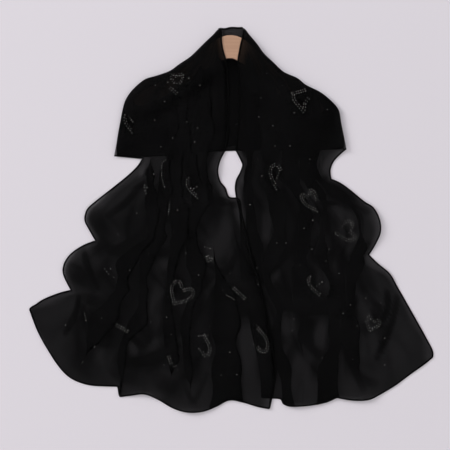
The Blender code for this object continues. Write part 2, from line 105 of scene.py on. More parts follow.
# Short hems, from the outer corner to the inner one. Columns: x_cm, y_cm, sharp
LEFT_SHORT_HEM = (
    (-45.9, -20.4, 0), (-44.1, -25.1, 0), (-41.6, -29.7, 0), (-39.1, -33.5, 0), (-36.5, -36.0, 0),
    (-32.7, -37.5, 0), (-28.8, -37.8, 0), (-25.8, -37.9, 1), (-25.4, -40.3, 1), (-22.6, -39.9, 0),
    (-19.7, -39.6, 0), (-16.7, -40.8, 0), (-13.5, -42.7, 0), (-10.1, -43.7, 0), (-6.5, -43.6, 0),
    (-3.3, -42.4, 0), (-0.3, -41.0, 0), (3.1, -41.6, 0), (6.1, -42.5, 0), (8.7, -43.0, 0),
)
RIGHT_SHORT_HEM = (
    (45.9, -31.3, 0), (44.2, -32.7, 0), (40.7, -35.2, 0), (37.3, -37.7, 0), (33.9, -39.7, 0),
    (31.2, -40.9, 0), (27.5, -41.0, 0), (24.1, -40.4, 1), (21.6, -41.5, 0), (17.9, -42.2, 0),
    (13.8, -42.4, 0), (12.0, -41.9, 0), (11.3, -40.8, 0), (9.2, -40.6, 0), (7.0, -40.5, 0),
)

# Knife pleats, from the outer hem inwards; each is a route down the cloth. Columns: x_cm, y_cm, half_cm
LEFT_PLEATS = (
    ((-18.5, 14.1, 0.9), (-18.5, 10.9, 1.1), (-18.1, 6.8, 1.1), (-17.9, 1.1, 1.4), (-18.5, -3.5, 1.1),
     (-21.3, -6.5, 1.8), (-24.0, -9.6, 1.8), (-24.5, -13.7, 1.4), (-26.5, -18.3, 2.1),
     (-29.0, -22.4, 2.5), (-31.1, -26.6, 1.6), (-32.5, -29.6, 0.8), (-33.5, -31.9, 0.05)),
    ((-15.1, 15.9, 0.9), (-15.1, 10.2, 1.1), (-15.1, 5.6, 1.4), (-15.6, 1.1, 1.1), (-16.9, -4.6, 1.4),
     (-19.2, -9.6, 1.6), (-20.1, -14.9, 0.9), (-20.1, -19.4, 0.9), (-20.8, -23.3, 1.8),
     (-23.6, -26.3, 1.4), (-24.9, -29.7, 0.9), (-25.1, -34.3, 0.7), (-25.1, -40.2, 0.4)),
    ((-19.0, 28.4, 0.7), (-16.3, 21.6, 1.6), (-14.0, 14.8, 1.6), (-12.4, 5.6, 1.8), (-11.7, -1.2, 1.8),
     (-12.6, -6.9, 1.6), (-13.5, -11.0, 0.9), (-14.2, -16.0, 0.7), (-14.4, -20.6, 1.1),
     (-14.0, -26.3, 1.6), (-13.5, -30.2, 1.6), (-13.5, -33.6, 0.8), (-13.7, -36.3, 0.05)),
    ((-12.2, 31.9, 0.9), (-11.7, 22.7, 2.1), (-10.3, 14.8, 1.8), (-6.9, 5.6, 1.8), (-8.0, 1.1, 1.6),
     (-9.4, -3.9, 1.4), (-8.0, -9.6, 1.8), (-7.8, -14.9, 1.4), (-9.4, -19.4, 1.1), (-10.6, -24.0, 0.9),
     (-10.3, -28.6, 0.7), (-9.9, -33.1, 0.8), (-9.4, -37.2, 0.8), (-9.0, -39.8, 0.05)),
    ((-7.1, 36.0, 0.7), (-6.5, 27.3, 2.1), (-5.8, 19.3, 1.6), (-6.0, 14.8, 0.7), (-6.0, 10.2, 0.7),
     (-5.1, 5.2, 1.1), (-4.2, 2.7, 0.03), (-3.9, -6.9, 0.03), (-3.3, -11.0, 0.5), (-2.1, -14.9, 1.8),
     (-1.2, -20.6, 2.3), (-1.2, -26.3, 3.0), (-1.2, -33.1, 3.2), (-1.0, -40.7, 3.0)),
    ((-3.5, 38.7, 0.5), (-2.3, 31.9, 1.1), (-2.1, 25.0, 1.1), (-2.3, 18.2, 0.7), (-2.3, 15.9, 0.03),
     (0.6, -2.3, 0.03), (2.9, -9.6, 0.9), (4.3, -14.9, 1.4), (5.9, -18.3, 1.4), (7.2, -22.4, 0.9),
     (8.1, -27.4, 0.7), (8.8, -33.1, 0.5), (9.3, -41.1, 0.3)),
)
RIGHT_PLEATS = (
    ((14.8, 31.9, 0.7), (18.4, 27.3, 0.9), (19.8, 21.6, 1.1), (19.1, 15.9, 0.9), (18.9, 11.3, 0.9),
     (21.4, 8.1, 1.4), (24.1, 6.1, 1.8), (27.3, 3.1, 0.5), (28.9, 0.8, 0.3), (29.3, -2.8, 0.3),
     (29.6, -6.0, 1.4), (28.7, -9.2, 1.6), (27.5, -12.4, 1.6), (27.1, -16.0, 1.4), (27.3, -18.8, 1.1),
     (26.6, -22.2, 2.1), (27.1, -26.3, 1.8), (27.7, -29.9, 1.3), (28.7, -33.4, 0.7),
     (29.5, -36.3, 0.05)),
    ((12.2, 32.3, 0.7), (16.1, 27.3, 1.4), (17.0, 21.6, 1.8), (16.8, 15.9, 1.8), (17.0, 10.9, 1.4),
     (19.3, 6.8, 1.4), (21.4, 3.8, 0.7), (20.7, -0.1, 0.7), (20.7, -4.6, 0.7), (20.5, -8.0, 1.4),
     (21.6, -11.5, 0.9), (23.2, -14.9, 0.9), (24.3, -18.3, 2.1), (24.3, -22.4, 1.8),
     (24.3, -26.3, 1.8), (23.6, -29.3, 1.8), (22.0, -33.1, 2.3), (22.0, -37.7, 2.3),
     (22.0, -40.2, 2.1)),
    ((10.0, 33.7, 0.7), (12.9, 27.3, 1.6), (13.8, 21.6, 2.1), (13.8, 15.9, 2.1), (13.4, 10.2, 1.8),
     (15.7, 5.6, 1.4), (17.0, 1.1, 1.4), (16.6, -3.5, 1.4), (16.3, -8.0, 1.6), (15.7, -12.6, 1.8),
     (16.1, -17.2, 1.8), (16.6, -19.7, 1.8), (16.3, -22.9, 0.7), (15.7, -27.0, 0.7),
     (16.3, -30.2, 0.03), (16.3, -41.6, 0.03)),
    ((7.0, 36.0, 0.7), (8.4, 29.6, 1.6), (8.8, 21.6, 1.8), (8.8, 15.9, 1.6), (9.1, 9.1, 1.4),
     (10.4, 3.4, 1.8), (10.9, -1.2, 1.4), (10.4, -5.8, 2.1), (8.8, -9.6, 1.4), (7.9, -12.6, 0.7),
     (8.8, -15.3, 1.1), (10.6, -18.1, 1.4), (11.3, -21.0, 0.9), (10.2, -25.1, 0.9), (10.2, -28.6, 1.1),
     (11.6, -33.1, 1.8), (12.2, -37.7, 1.8), (12.9, -40.7, 1.8)),
    ((3.8, 38.7, 0.7), (4.5, 31.9, 1.1), (4.3, 25.0, 1.1), (4.3, 15.9, 0.9), (3.8, 10.2, 0.7),
     (4.3, 3.4, 1.1), (4.7, -2.3, 1.4), (5.6, -6.9, 1.4), (5.6, -11.5, 1.1), (4.7, -15.6, 0.9),
     (5.2, -19.4, 0.03), (7.9, -40.7, 0.03)),
)

# Soft creases between the pleats, where the cloth is bunched in a low ridge, with painted shade along it:
# the cloth's opacity is raised there, standing in for the shade and extra layers of the fold. What a
# painted shade level has above 1 keeps the crease firm out to the rim. With a level below 0 the row is a
# patch of painted light instead, where the opacity is lowered so that more of the table shows through, and
# still more below -1. Columns: x0_cm, y0_cm, x1_cm, y1_cm, x2_cm, y2_cm, half_cm, painted_shade_level
LEFT_CREASES = (
    (-20.8, 7.7, -24.2, 3.8, -28.1, 0.8, 0.8, 0.7), (-30.4, -5.3, -25.8, -7.1, -20.1, -3.7, 1.4, 0.8),
    (-33.6, -6.9, -32.9, -10.1, -30.6, -15.3, 0.65, 1.1),
    (-37.0, -9.9, -33.6, -11.9, -31.5, -16.5, 0.7, 0.6),
    (-34.7, -17.6, -35.4, -21.0, -37.7, -25.8, 0.6, 1.2),
    (-33.1, -17.9, -31.8, -18.3, -29.9, -18.8, 1.4, 0.6),
    (-33.6, -18.8, -33.8, -21.0, -33.1, -24.2, 0.7, 0.5),
    (-23.6, -25.6, -22.2, -27.2, -20.6, -28.8, 0.7, 0.8),
    (-25.4, -32.4, -18.5, -31.8, -12.2, -28.8, 1.0, 1.7),
    (-10.8, -37.5, -8.5, -41.1, -5.5, -35.2, 0.6, 0.5), (-5.8, 3.8, -2.1, 4.3, 2.2, 3.6, 1.0, 1.0),
    (-6.0, -9.6, -1.2, -11.9, 1.8, -5.8, 0.7, 0.6), (7.5, -12.6, 4.3, -15.3, -3.5, -16.3, 1.4, 0.9),
    (-6.5, -17.4, -8.0, -21.0, -9.4, -24.2, 0.9, 0.7), (-2.6, -19.2, 1.1, -20.6, 4.7, -19.7, 1.8, 0.8),
    (-18.5, -6.9, -16.3, -7.4, -13.5, -6.7, 0.9, 0.8),
    (-13.5, -18.3, -14.9, -22.4, -16.3, -26.1, 0.9, 0.5),
    (-24.5, -33.8, -22.6, -35.6, -20.8, -34.7, 1.4, 0.5),
    (-18.5, -1.2, -15.8, -0.5, -12.6, 1.3, 0.9, 0.4), (-7.1, 15.9, -6.5, 10.2, -5.8, 4.9, 0.7, 0.6),
    (-1.7, 1.8, -3.0, -4.2, -2.1, -9.6, 3.6, -1.0), (-3.5, 14.1, -3.9, 9.5, -2.6, 5.4, 1.8, -0.9),
    (-16.3, -11.0, -14.7, -10.3, -13.1, -11.5, 1.6, -0.8),
    (-15.8, -13.7, -17.2, -19.2, -17.4, -25.6, 1.6, -0.7),
    (-15.6, -1.4, -15.8, -4.6, -16.9, -6.2, 1.1, -0.5),
    (-27.2, -28.6, -29.5, -32.9, -30.8, -37.9, 2.5, -0.9),
    (-22.9, -27.4, -22.2, -29.7, -23.1, -31.8, 1.1, -0.9),
    (-16.7, -27.0, -17.9, -28.8, -19.2, -29.9, 1.1, -1.0),
    (-9.9, -24.0, -11.2, -27.4, -12.2, -29.7, 1.1, -0.7),
    (-14.9, -34.7, -14.7, -38.4, -15.1, -41.1, 1.4, -0.6),
    (-2.1, -12.6, -5.3, -16.3, -8.3, -21.5, 0.9, -0.7),
    (-6.5, -30.2, -5.5, -35.6, -6.5, -42.0, 1.4, -0.5), (2.7, -23.3, 3.8, -28.6, 4.5, -40.7, 2.1, -1.0),
    (9.1, -29.3, 9.7, -34.7, 10.2, -40.2, 0.9, -0.8),
    (-27.2, -8.7, -26.1, -11.9, -25.1, -15.1, 0.9, -0.4), (-6.0, 41.9, -3.5, 40.1, -2.3, 37.3, 2.1, -0.4),
    (-19.7, 12.9, -20.4, 11.1, -20.8, 9.5, 0.7, -2.0), (-19.4, 8.8, -20.6, 7.7, -22.2, 6.8, 0.7, 0.8),
    (-31.0, 1.5, -30.0, -1.5, -28.5, -4.5, 2.0, 0.6),
    (-35.5, -11.5, -34.0, -13.0, -32.0, -14.5, 2.0, 0.6),
    (-31.5, -21.5, -29.0, -22.2, -26.0, -23.0, 1.5, 0.8),
    (-36.0, -29.5, -33.5, -32.5, -30.0, -36.0, 2.6, 0.4),
    (-27.0, -31.0, -24.0, -32.5, -20.0, -34.0, 2.2, 0.6),
    (-16.5, -36.5, -14.5, -37.8, -12.0, -39.0, 1.8, 0.5), (-11.5, 10.0, -10.8, 7.5, -10.5, 5.0, 1.4, 0.6),
    (-14.5, -12.5, -13.0, -14.5, -11.5, -16.5, 1.6, 0.5),
    (-31.5, -2.0, -30.0, -5.0, -28.0, -8.0, 2.4, 0.6),
    (-32.0, -24.0, -29.5, -26.5, -27.0, -28.0, 2.0, 0.7),
    (-27.5, -33.5, -24.5, -35.5, -21.0, -36.5, 1.8, 0.6),
    (-15.5, -20.0, -13.5, -22.0, -12.5, -25.0, 2.0, 0.5), (-4.6, 6.5, -3.8, 2.0, -5.0, -2.5, 2.0, 0.5),
)
RIGHT_CREASES = (
    (19.8, 3.8, 22.5, 3.8, 25.5, 3.8, 0.5, 0.9), (21.4, 8.2, 24.8, 5.6, 28.4, 3.4, 2.0, 1.0),
    (28.4, 2.9, 29.6, 0.4, 29.6, -4.6, 0.5, 0.5), (31.2, -6.2, 28.9, -7.4, 28.0, -10.1, 1.4, 1.0),
    (12.9, -6.5, 10.2, -9.6, 6.5, -13.7, 1.4, 1.0), (12.5, -19.0, 19.8, -19.9, 27.5, -18.3, 1.5, 1.5),
    (35.5, -16.5, 35.7, -19.8, 34.6, -22.8, 0.65, 1.3),
    (37.9, -17.4, 36.5, -23.5, 33.2, -31.5, 0.65, 0.9), (25.9, -29.3, 28.2, -34.3, 30.0, -38.4, 0.9, 0.8),
    (24.3, -6.9, 26.2, -12.4, 25.2, -16.5, 1.6, 0.8), (18.2, -23.3, 17.0, -27.4, 20.5, -31.3, 0.9, 0.7),
    (28.0, -34.5, 30.3, -36.5, 32.5, -37.2, 1.1, 0.5), (24.3, -25.1, 25.0, -28.1, 26.4, -30.2, 0.7, 0.6),
    (32.1, -18.3, 33.9, -20.1, 33.4, -22.4, 0.7, 0.4), (10.2, -14.9, 12.0, -16.7, 13.6, -18.5, 0.9, 0.8),
    (20.7, 15.2, 20.5, 12.9, 20.5, 10.6, 0.3, 0.5), (12.2, 3.4, 12.0, -1.9, 12.5, -6.9, 0.5, 0.5),
    (7.9, 3.1, 8.1, -1.4, 7.7, -6.5, 1.1, -0.9), (10.6, -10.8, 9.5, -12.8, 7.9, -14.7, 1.4, -0.8),
    (1.5, 14.8, 2.0, 10.2, 1.5, 4.7, 1.1, -0.8), (24.3, 3.4, 23.9, -0.1, 24.3, -3.3, 1.8, -1.0),
    (27.1, 2.9, 27.5, 0.8, 28.0, -1.0, 1.1, -0.6), (20.7, -1.2, 21.6, -3.9, 22.5, -6.2, 1.4, -0.5),
    (30.5, -10.1, 31.6, -14.0, 34.1, -17.9, 1.6, -1.0),
    (29.3, -15.6, 30.3, -19.7, 30.3, -24.2, 1.8, -1.0),
    (21.1, -23.1, 20.2, -26.5, 20.2, -29.9, 1.4, -1.0),
    (12.9, -21.7, 12.9, -24.2, 13.4, -26.7, 1.8, -0.9),
    (17.0, -30.2, 15.7, -34.7, 16.3, -41.1, 2.5, -1.0),
    (24.8, -28.3, 25.0, -34.3, 25.0, -41.1, 0.9, -0.7),
    (27.1, -37.5, 28.4, -38.8, 30.3, -40.2, 2.1, -0.7),
    (20.2, -11.0, 20.7, -13.7, 21.8, -16.5, 1.6, -0.8), (24.3, -7.8, 24.1, -9.6, 23.9, -11.2, 0.9, -0.7),
    (12.9, -28.3, 11.8, -30.2, 11.6, -32.2, 0.9, -0.7), (6.1, 41.0, 4.0, 39.4, 2.9, 37.1, 2.1, -0.4),
    (23.0, 15.4, 21.8, 12.7, 21.6, 9.7, 1.4, -1.0), (20.7, 15.4, 20.5, 13.2, 20.5, 10.9, 0.3, -1.8),
    (21.6, 8.8, 21.1, 10.0, 21.6, 11.3, 0.5, 0.4), (22.0, 8.8, 26.4, 6.3, 30.9, 3.0, 1.8, 2.0),
    (38.5, -24.5, 38.0, -29.0, 35.0, -33.5, 3.2, -0.9),
    (30.8, -25.0, 31.6, -29.0, 30.5, -33.0, 2.6, -0.9), (17.5, -11.5, 18.5, -14.5, 18.0, -17.5, 1.4, 0.5),
    (16.5, -11.0, 18.0, -13.0, 19.5, -13.5, 2.0, 0.7), (20.5, 1.5, 22.5, -1.0, 23.0, -4.0, 2.0, 0.7),
    (28.5, -10.5, 30.5, -13.5, 31.5, -17.0, 2.0, 0.5), (8.0, -6.0, 8.6, -10.0, 8.0, -14.0, 1.6, 0.4),
)

# Ruffle lobes and scallops, where the hem lifts off the table. Columns: x_cm, y_cm, radius_cm, height_mm
LEFT_LIFTS = (
    (-29.5, 1.1, 7.0, 6.5), (-35.0, -11.0, 6.0, 5.5), (-40.5, -26.0, 6.5, 3.5), (-19.5, -39.5, 6.0, 5.5),
    (-9.4, -43.0, 6.5, 5.0), (-4.5, 12.0, 5.0, 6.0),
)
RIGHT_LIFTS = (
    (31.5, -1.2, 8.0, 7.0), (33.5, -13.5, 6.0, 5.0), (38.5, -24.5, 6.0, 3.5), (29.0, -40.0, 7.5, 6.0),
    (16.0, -42.0, 6.0, 5.0),
)

SHOULDER_ROWS = 16
STEPS_PER_SECTION = 12
EVEN_ROWS = 185
HEM_STEPS = 8
MOST_LEVEL = 1.1
FAR_OFF = 1e9


def smooth_step(value):
    """Rises from 0 to 1 with level ends as value goes from 0 to 1: 3 v squared less 2 v cubed."""
    value = np.clip(value, 0.0, 1.0)
    return value * value * (3.0 - 2.0 * value)


def smooth_line(points, steps, sharp=None):
    """Cubic spans through the points, steps samples to a span. A span leaves and reaches a point with half
    the step between that point's neighbours, or with half its own step at an end and at a sharp point."""
    points = np.asarray(points, dtype=float)
    sharp = np.zeros(len(points), bool) if sharp is None else np.asarray(sharp, bool)
    start = points[:-1]
    end = points[1:]
    before = np.where(sharp[:-1, None], start, np.vstack((points[:1], points[:-2])))
    after = np.where(sharp[1:, None], end, np.vstack((points[2:], points[-1:])))
    leave = 0.5 * (end - before)
    reach = 0.5 * (after - start)
    t = (np.arange(steps) / steps)[None, :, None]
    spans = (
        (2 * t**3 - 3 * t**2 + 1) * start[:, None]
        + (t**3 - 2 * t**2 + t) * leave[:, None]
        + (3 * t**2 - 2 * t**3) * end[:, None]
        + (t**3 - t**2) * reach[:, None]
    )
    return np.vstack((spans.reshape(-1, points.shape[1]), points[-1:]))


def cut_panel(sections, bows, short_hem):
    """A stretch of the shawl in plan: its long edges, the level it lies on, which is 1 down to just below
    the shoulder corners, each row's share of the short hem's bow, and that hem."""
    sections = np.array(sections)
    level = np.arange(len(sections)) <= SHOULDER_ROWS
    share = np.concatenate((np.zeros(len(sections) - len(bows)), bows))
    rows = smooth_line(np.column_stack((sections, level, share)), STEPS_PER_SECTION, sections[:, 4])
    steps = np.hypot(*np.diff(rows[:, 0:2], axis=0).T) + np.hypot(*np.diff(rows[:, 2:4], axis=0).T)
    down = np.concatenate(((0.0,), np.cumsum(steps)))
    even = np.searchsorted(down, np.linspace(0.0, down[-1], EVEN_ROWS))
    keep = np.union1d(even, np.arange(0, len(rows), STEPS_PER_SECTION))
    corner = np.searchsorted(keep, (SHOULDER_ROWS - 1) * STEPS_PER_SECTION)
    rows = rows[keep]
    short_hem = np.array(short_hem)
    hem = smooth_line(short_hem[:, :2], HEM_STEPS, short_hem[:, 2])
    lengths = np.hypot(*np.diff(hem, axis=0).T)
    return {
        "outer": rows[:, 0:2] * CM,
        "inner": rows[:, 2:4] * CM,
        "level": np.clip(rows[:, 5], 0.0, MOST_LEVEL),
        "share": np.clip(rows[:, 6], 0.0, 1.0),
        "hem": hem * CM,
        "hem_at": np.concatenate(((0.0,), np.cumsum(lengths))) / lengths.sum(),
        "corner": corner,
    }


def plan_at(panel, across):
    """x and y at shares across each row: the straight row, plus its share of the hem's bow."""
    outer = panel["outer"][:, None, :]
    inner = panel["inner"][:, None, :]
    straight = outer + across[:, :, None] * (inner - outer)
    chord = panel["outer"][-1] + across[:, :, None] * (panel["inner"][-1] - panel["outer"][-1])
    hem_x = np.interp(across, panel["hem_at"], panel["hem"][:, 0])
    hem_y = np.interp(across, panel["hem_at"], panel["hem"][:, 1])
    bow = np.stack((hem_x, hem_y), axis=-1) - chord
    place = straight + panel["share"][:, None, None] * bow
    return place[:, :, 0], place[:, :, 1]


def distance_to_line(x, y, line):
    """Distance from each point to a bent line, and how far along it the nearest place is, from 0 to 1."""
    best = np.full(x.shape, FAR_OFF)
    along = np.zeros(x.shape)
    spans = len(line) - 1
    for i in range(spans):
        span = line[i + 1] - line[i]
        t = ((x - line[i, 0]) * span[0] + (y - line[i, 1]) * span[1]) / (span @ span)
        t = np.clip(t, 0.0, 1.0)
        gap = np.hypot(x - line[i, 0] - t * span[0], y - line[i, 1] - t * span[1])
        nearer = gap < best
        best = np.where(nearer, gap, best)
        along = np.where(nearer, (i + t) / spans, along)
    return best, along


# What the cloth lies on. Over the hanger's arms it stands off the table; it drops sharply at the shoulder
# fold, and on the other side it bridges a little way out and comes down softly.
# Columns: x_cm, y_cm, half_depth_cm
HANGER_ARM = (
    (0.0, 39.3, 2.6), (2.3, 38.6, 2.4), (6.1, 35.9, 1.9), (9.5, 32.8, 1.8), (13.4, 29.9, 1.7),
    (17.6, 27.5, 1.6), (20.2, 26.3, 1.5),
)
HANGER_PIVOT = (0.0, 39.3)
HANGER_TILT = math.radians(-3.0)
ARM_STEPS = 3
MM = 0.001
OVER_BACK = 1.5 * MM
CLEAR_OF_WOOD = 0.5 * MM
OVER_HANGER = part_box("hanger")[1][2] + CLEAR_OF_WOOD
FOLD_DROP = 6.5 * MM
BRIDGE_START = 9.0 * MM
BRIDGE_FALL = 30.0 * MM
EDGE_RISE = 5.0 * MM
EDGE_WIDTH = 20.0 * MM
EDGE_START = 11.0 * CM
EDGE_GROWTH = 6.0 * CM


def hanger_line():
    """Middle line of both arms and the half depth: one arm, its mirror image, and a turn by the tilt."""
    arm = np.array(HANGER_ARM)
    line = smooth_line(np.vstack((arm[:0:-1] * (-1.0, 1.0, 1.0), arm)), ARM_STEPS)
    x = line[:, 0] - HANGER_PIVOT[0]
    y = line[:, 1] - HANGER_PIVOT[1]
    turned_x = HANGER_PIVOT[0] + x * math.cos(HANGER_TILT) - y * math.sin(HANGER_TILT)
    turned_y = HANGER_PIVOT[1] + x * math.sin(HANGER_TILT) + y * math.cos(HANGER_TILT)
    return np.column_stack((turned_x, turned_y, line[:, 2])) * CM


def wood_gap(x, y):
    """Distance in plan to the hanger's edge, below 0 on the wood: from its middle line, less the half depth
    there."""
    line = hanger_line()
    gap, along = distance_to_line(x, y, line[:, :2])
    return gap - np.interp(along, np.linspace(0.0, 1.0, len(line)), line[:, 2])


def over_hanger(x, y):
    """Share of the hanger's height under the cloth: 1 on the wood, easing to 0 outside it."""
    return 1.0 - smooth_step((wood_gap(x, y) - BRIDGE_START) / BRIDGE_FALL)


def edge_rise(x, from_fold):
    """Height of the shoulder folds, which the hanger's arms keep from lying flat: most at the fold itself,
    nothing EDGE_WIDTH inside it, and growing from nothing over the shoulder."""
    outward = smooth_step((np.abs(x) - EDGE_START) / EDGE_GROWTH)
    return EDGE_RISE * outward * smooth_step(1.0 - from_fold / EDGE_WIDTH)


def lift_height(x, y, lifts):
    """Height of the ruffle lobes: a soft dome round each centre."""
    height = np.zeros(x.shape)
    for centre_x, centre_y, radius, lift in lifts:
        gap = np.hypot(x - centre_x * CM, y - centre_y * CM)
        height = np.maximum(height, lift * MM * smooth_step(1.0 - gap / (radius * CM)))
    return height


# The sheets. Each stretch is one thin sheet that is really pleated: along a pleat the cloth runs on over
# the pleat, turns back under itself and turns again, so three layers lie there and one lies between.
SHEET_THICK = 0.25 * MM
LEAST_RUN_COLUMNS = 8
SHARED_COLUMNS = 110
TURN_COLUMNS = 5
RAMP = 14.0 * MM
RAMP_LEAST_WIDTH = 4.0 * CM
FULL_PITCH_HALF = 5.0 * MM
LINE_STEPS = 4
SHARE_STEPS = 181
TRACK_SMOOTHING = 15
LEAST_WIDTH = 2.0 * CM
LEAST_SPACING = 0.012
MOST_HALF = 0.8
GROW_ROWS = 10.0
FADE_ROWS = 8.0
LAST_ROWS = 4
# How a pleat's width swells and shrinks. Columns: share, rows_per_radian, shift_per_pleat
SWELLS = ((0.2, 5.5, 2.1), (0.12, 2.3, 0.0))


def pleat_tracks(panel, routes):
    """Centre and half width of each pleat on every row, as shares of the row. Each route's points are set
    on the nearest row and share, and rows between them are filled in. A pleat grows and fades at its ends,
    and two sines of the row swell and shrink it."""
    rows = len(panel["outer"])
    shares = np.linspace(0.0, 1.0, SHARE_STEPS)
    x, y = plan_at(panel, np.tile(shares, (rows, 1)))
    width = np.hypot(*(panel["inner"] - panel["outer"]).T)
    every_row = np.arange(rows)
    kernel = np.hanning(TRACK_SMOOTHING)[1:-1]
    centres = []
    halves = []
    for route in routes:
        route = smooth_line(route, LINE_STEPS) * CM
        gap = (x[None] - route[:, 0, None, None]) ** 2 + (y[None] - route[:, 1, None, None]) ** 2
        nearest = gap.reshape(len(route), -1).argmin(axis=1)
        row = np.maximum.accumulate(nearest // len(shares))
        row, first = np.unique(row, return_index=True)
        centre = np.interp(every_row, row, shares[nearest % len(shares)][first])
        centre = np.convolve(np.pad(centre, len(kernel) // 2, "edge"), kernel / kernel.sum(), "valid")
        half = np.interp(every_row, row, route[first, 2])
        grow = smooth_step((every_row - row[0]) / GROW_ROWS)
        runs_out = row[-1] >= rows - LAST_ROWS
        fade = np.ones(rows) if runs_out else smooth_step((row[-1] - every_row) / FADE_ROWS)
        swell = 1.0
        for share, rows_each, shift in SWELLS:
            swell = swell + share * np.sin(every_row / rows_each + shift * len(centres))
        half = half * grow * fade * swell / np.maximum(width, LEAST_WIDTH)
        if centres:
            centre = np.maximum(centre, centres[-1] + LEAST_SPACING)
        centres.append(centre)
        halves.append(np.minimum(half, np.minimum(centre, 1.0 - centre) * MOST_HALF))
    return np.array(centres), np.array(halves), width


def pleated_grid(panel, routes, pitch):
    """Shares across, stacking heights and run kinds of a pleated sheet, a column for each warp line.

    Run k goes from the near side of pleat k to the far side of pleat k + 1, and a turn goes back across
    each pleat. A point stands one pitch higher for each turn and each run that lies under it there."""
    centres, halves, width = pleat_tracks(panel, routes)
    count, rows = centres.shape
    ramp = (RAMP / np.maximum(width, RAMP_LEAST_WIDTH))[:, None]
    pitches = pitch * smooth_step(halves * width / FULL_PITCH_HALF)
    near = np.vstack((np.zeros((1, rows)), centres - halves))
    far = np.vstack((centres + halves, np.ones((1, rows))))
    mean_run = ((far - near) * width).mean(axis=1)
    run_columns = LEAST_RUN_COLUMNS + np.round(SHARED_COLUMNS * mean_run / mean_run.sum()).astype(int)
    along_turn = np.linspace(0.0, 1.0, TURN_COLUMNS)

    def pile(across, first):
        """Height of the pleats from number first on that lie under each point."""
        height = np.zeros(across.shape)
        for j in range(first, count):
            start = (centres[j] - halves[j])[:, None]
            height = height + 2.0 * pitches[j][:, None] * smooth_step((across - start) / ramp + 1.0)
        return height

    across_parts = []
    height_parts = []
    kinds = []
    for k in range(count + 1):
        across = near[k][:, None] + (far[k] - near[k])[:, None] * np.linspace(0.0, 1.0, run_columns[k])
        across_parts.append(across)
        height_parts.append(pile(across, k))
        kinds += [k] * run_columns[k]
        if k < count:
            across = far[k][:, None] + (centres[k] - halves[k] - far[k])[:, None] * along_turn
            across_parts.append(across)
            height_parts.append(pitches[k][:, None] + pile(across, k + 1))
            kinds += [-1] * TURN_COLUMNS
    return np.hstack(across_parts), np.hstack(height_parts), np.array(kinds)


# Sines of the crinkle and of its wander. Columns of WANDERS: strength, length_cm, start_angle. Columns of
# CRINKLES: length as a share of the width, slant, wander, start_angle
WANDERS = ((0.9, 9.0, 0.0), (0.5, 4.1, 1.3))
CRINKLES = ((0.62, 0.0, 1.0, 0.0), (0.37, 0.0, -1.4, 0.8), (1.05, 0.6, 0.0, 2.1))


def crinkle(x, y, width_cm):
    """Low soft undulations down the cloth, 0 to 1: three sines across it, whose lines wander along it."""
    wander = sum(strength * np.sin(y / (length * CM) + start) for strength, length, start in WANDERS)
    height = 3.0
    for length, slant, drift, start in CRINKLES:
        height = height + np.sin((x + slant * y) / (length * width_cm * CM) + drift * wander + start)
    return height / 6.0


# Sines of the fine creases, in radians along and across the cloth. Columns of FINE_WANDERS: strength,
# down, across, start_angle. Of FINE_LINES: across, wander, down. Of FINE_SHARE: down, across
FINE_WANDERS = ((0.9, 13.0, 5.0, 0.0), (0.5, 29.0, -9.0, 1.0))
FINE_LINES = ((17.0, 1.0, 0.0), (25.0, -1.5, 5.0))
FINE_SHARE = (21.0, 15.0)
FINE_MEAN = 0.23


def fine_creases(across):
    """Fine creases down the cloth, above 0 on a line and just below 0 between lines: two sets of squared
    gaps of a sine of the share across, which wander and come and go with the row. Their mean is near 0."""
    down = np.linspace(0.0, 1.0, len(across))[:, None]
    wander = 0.0
    for strength, by_row, by_share, start in FINE_WANDERS:
        wander = wander + strength * np.sin(by_row * down + by_share * across + start)
    first, second = (
        (1.0 - np.abs(np.sin(by_share * across + by_wander * wander + by_row * down))) ** 2
        for by_share, by_wander, by_row in FINE_LINES
    )
    share = 0.5 + 0.5 * np.sin(FINE_SHARE[0] * down + FINE_SHARE[1] * across)
    return first * share + second * (1.0 - share) - FINE_MEAN


def sheet_mesh(name, x, y, z, painted_shade):
    """Sheet from a grid of places, with a painted shade value at each point, which sets how opaque the
    cloth is there.
    """
    rows, columns = x.shape
    index = np.arange(rows * columns).reshape(rows, columns)
    corners = (index[:-1, :-1], index[1:, :-1], index[1:, 1:], index[:-1, 1:])
    faces = np.stack(corners, axis=-1).reshape(-1, 4)
    turn = (x[1:, :-1] - x[:-1, :-1]) * (y[:-1, 1:] - y[:-1, :-1])
    turn = turn - (y[1:, :-1] - y[:-1, :-1]) * (x[:-1, 1:] - x[:-1, :-1])
    if turn.sum() < 0.0:
        faces = faces[:, ::-1]
    mesh = bpy.data.meshes.new(name)
    mesh.from_pydata(np.column_stack((x.ravel(), y.ravel(), z.ravel())).tolist(), [], faces.tolist())
    layer = mesh.attributes.new("painted_shade", "FLOAT", "POINT")
    layer.data.foreach_set("value", painted_shade.ravel().astype(np.float32))
    mesh.shade_smooth()
    item = put_in_scene(name, mesh)
    solid = item.modifiers.new("Solidify", "SOLIDIFY")
    solid.thickness = SHEET_THICK
    solid.offset = 0.0
    return item


def tree_of(*items):
    """Search tree of the finished faces of the items, for finding the cloth under a point."""
    graph = bpy.context.evaluated_depsgraph_get()
    places = []
    faces = []
    for item in items:
        shown = item.evaluated_get(graph).to_mesh()
        start = len(places)
        places += [tuple(v.co) for v in shown.vertices]
        faces += [tuple(start + i for i in p.vertices) for p in shown.polygons]
    return BVHTree.FromPolygons(places, faces)


RAY_START = 0.2


def top_at(tree, x, y):
    """Height of the highest face at each place, or nothing where there is none."""
    heights = np.full(x.shape, np.nan)
    flat = heights.ravel()
    for i, (px, py) in enumerate(zip(x.ravel(), y.ravel())):
        hit = tree.ray_cast(Vector((px, py, RAY_START)), Vector((0.0, 0.0, -1.0)))[0]
        if hit is not None:
            flat[i] = hit.z
    return heights
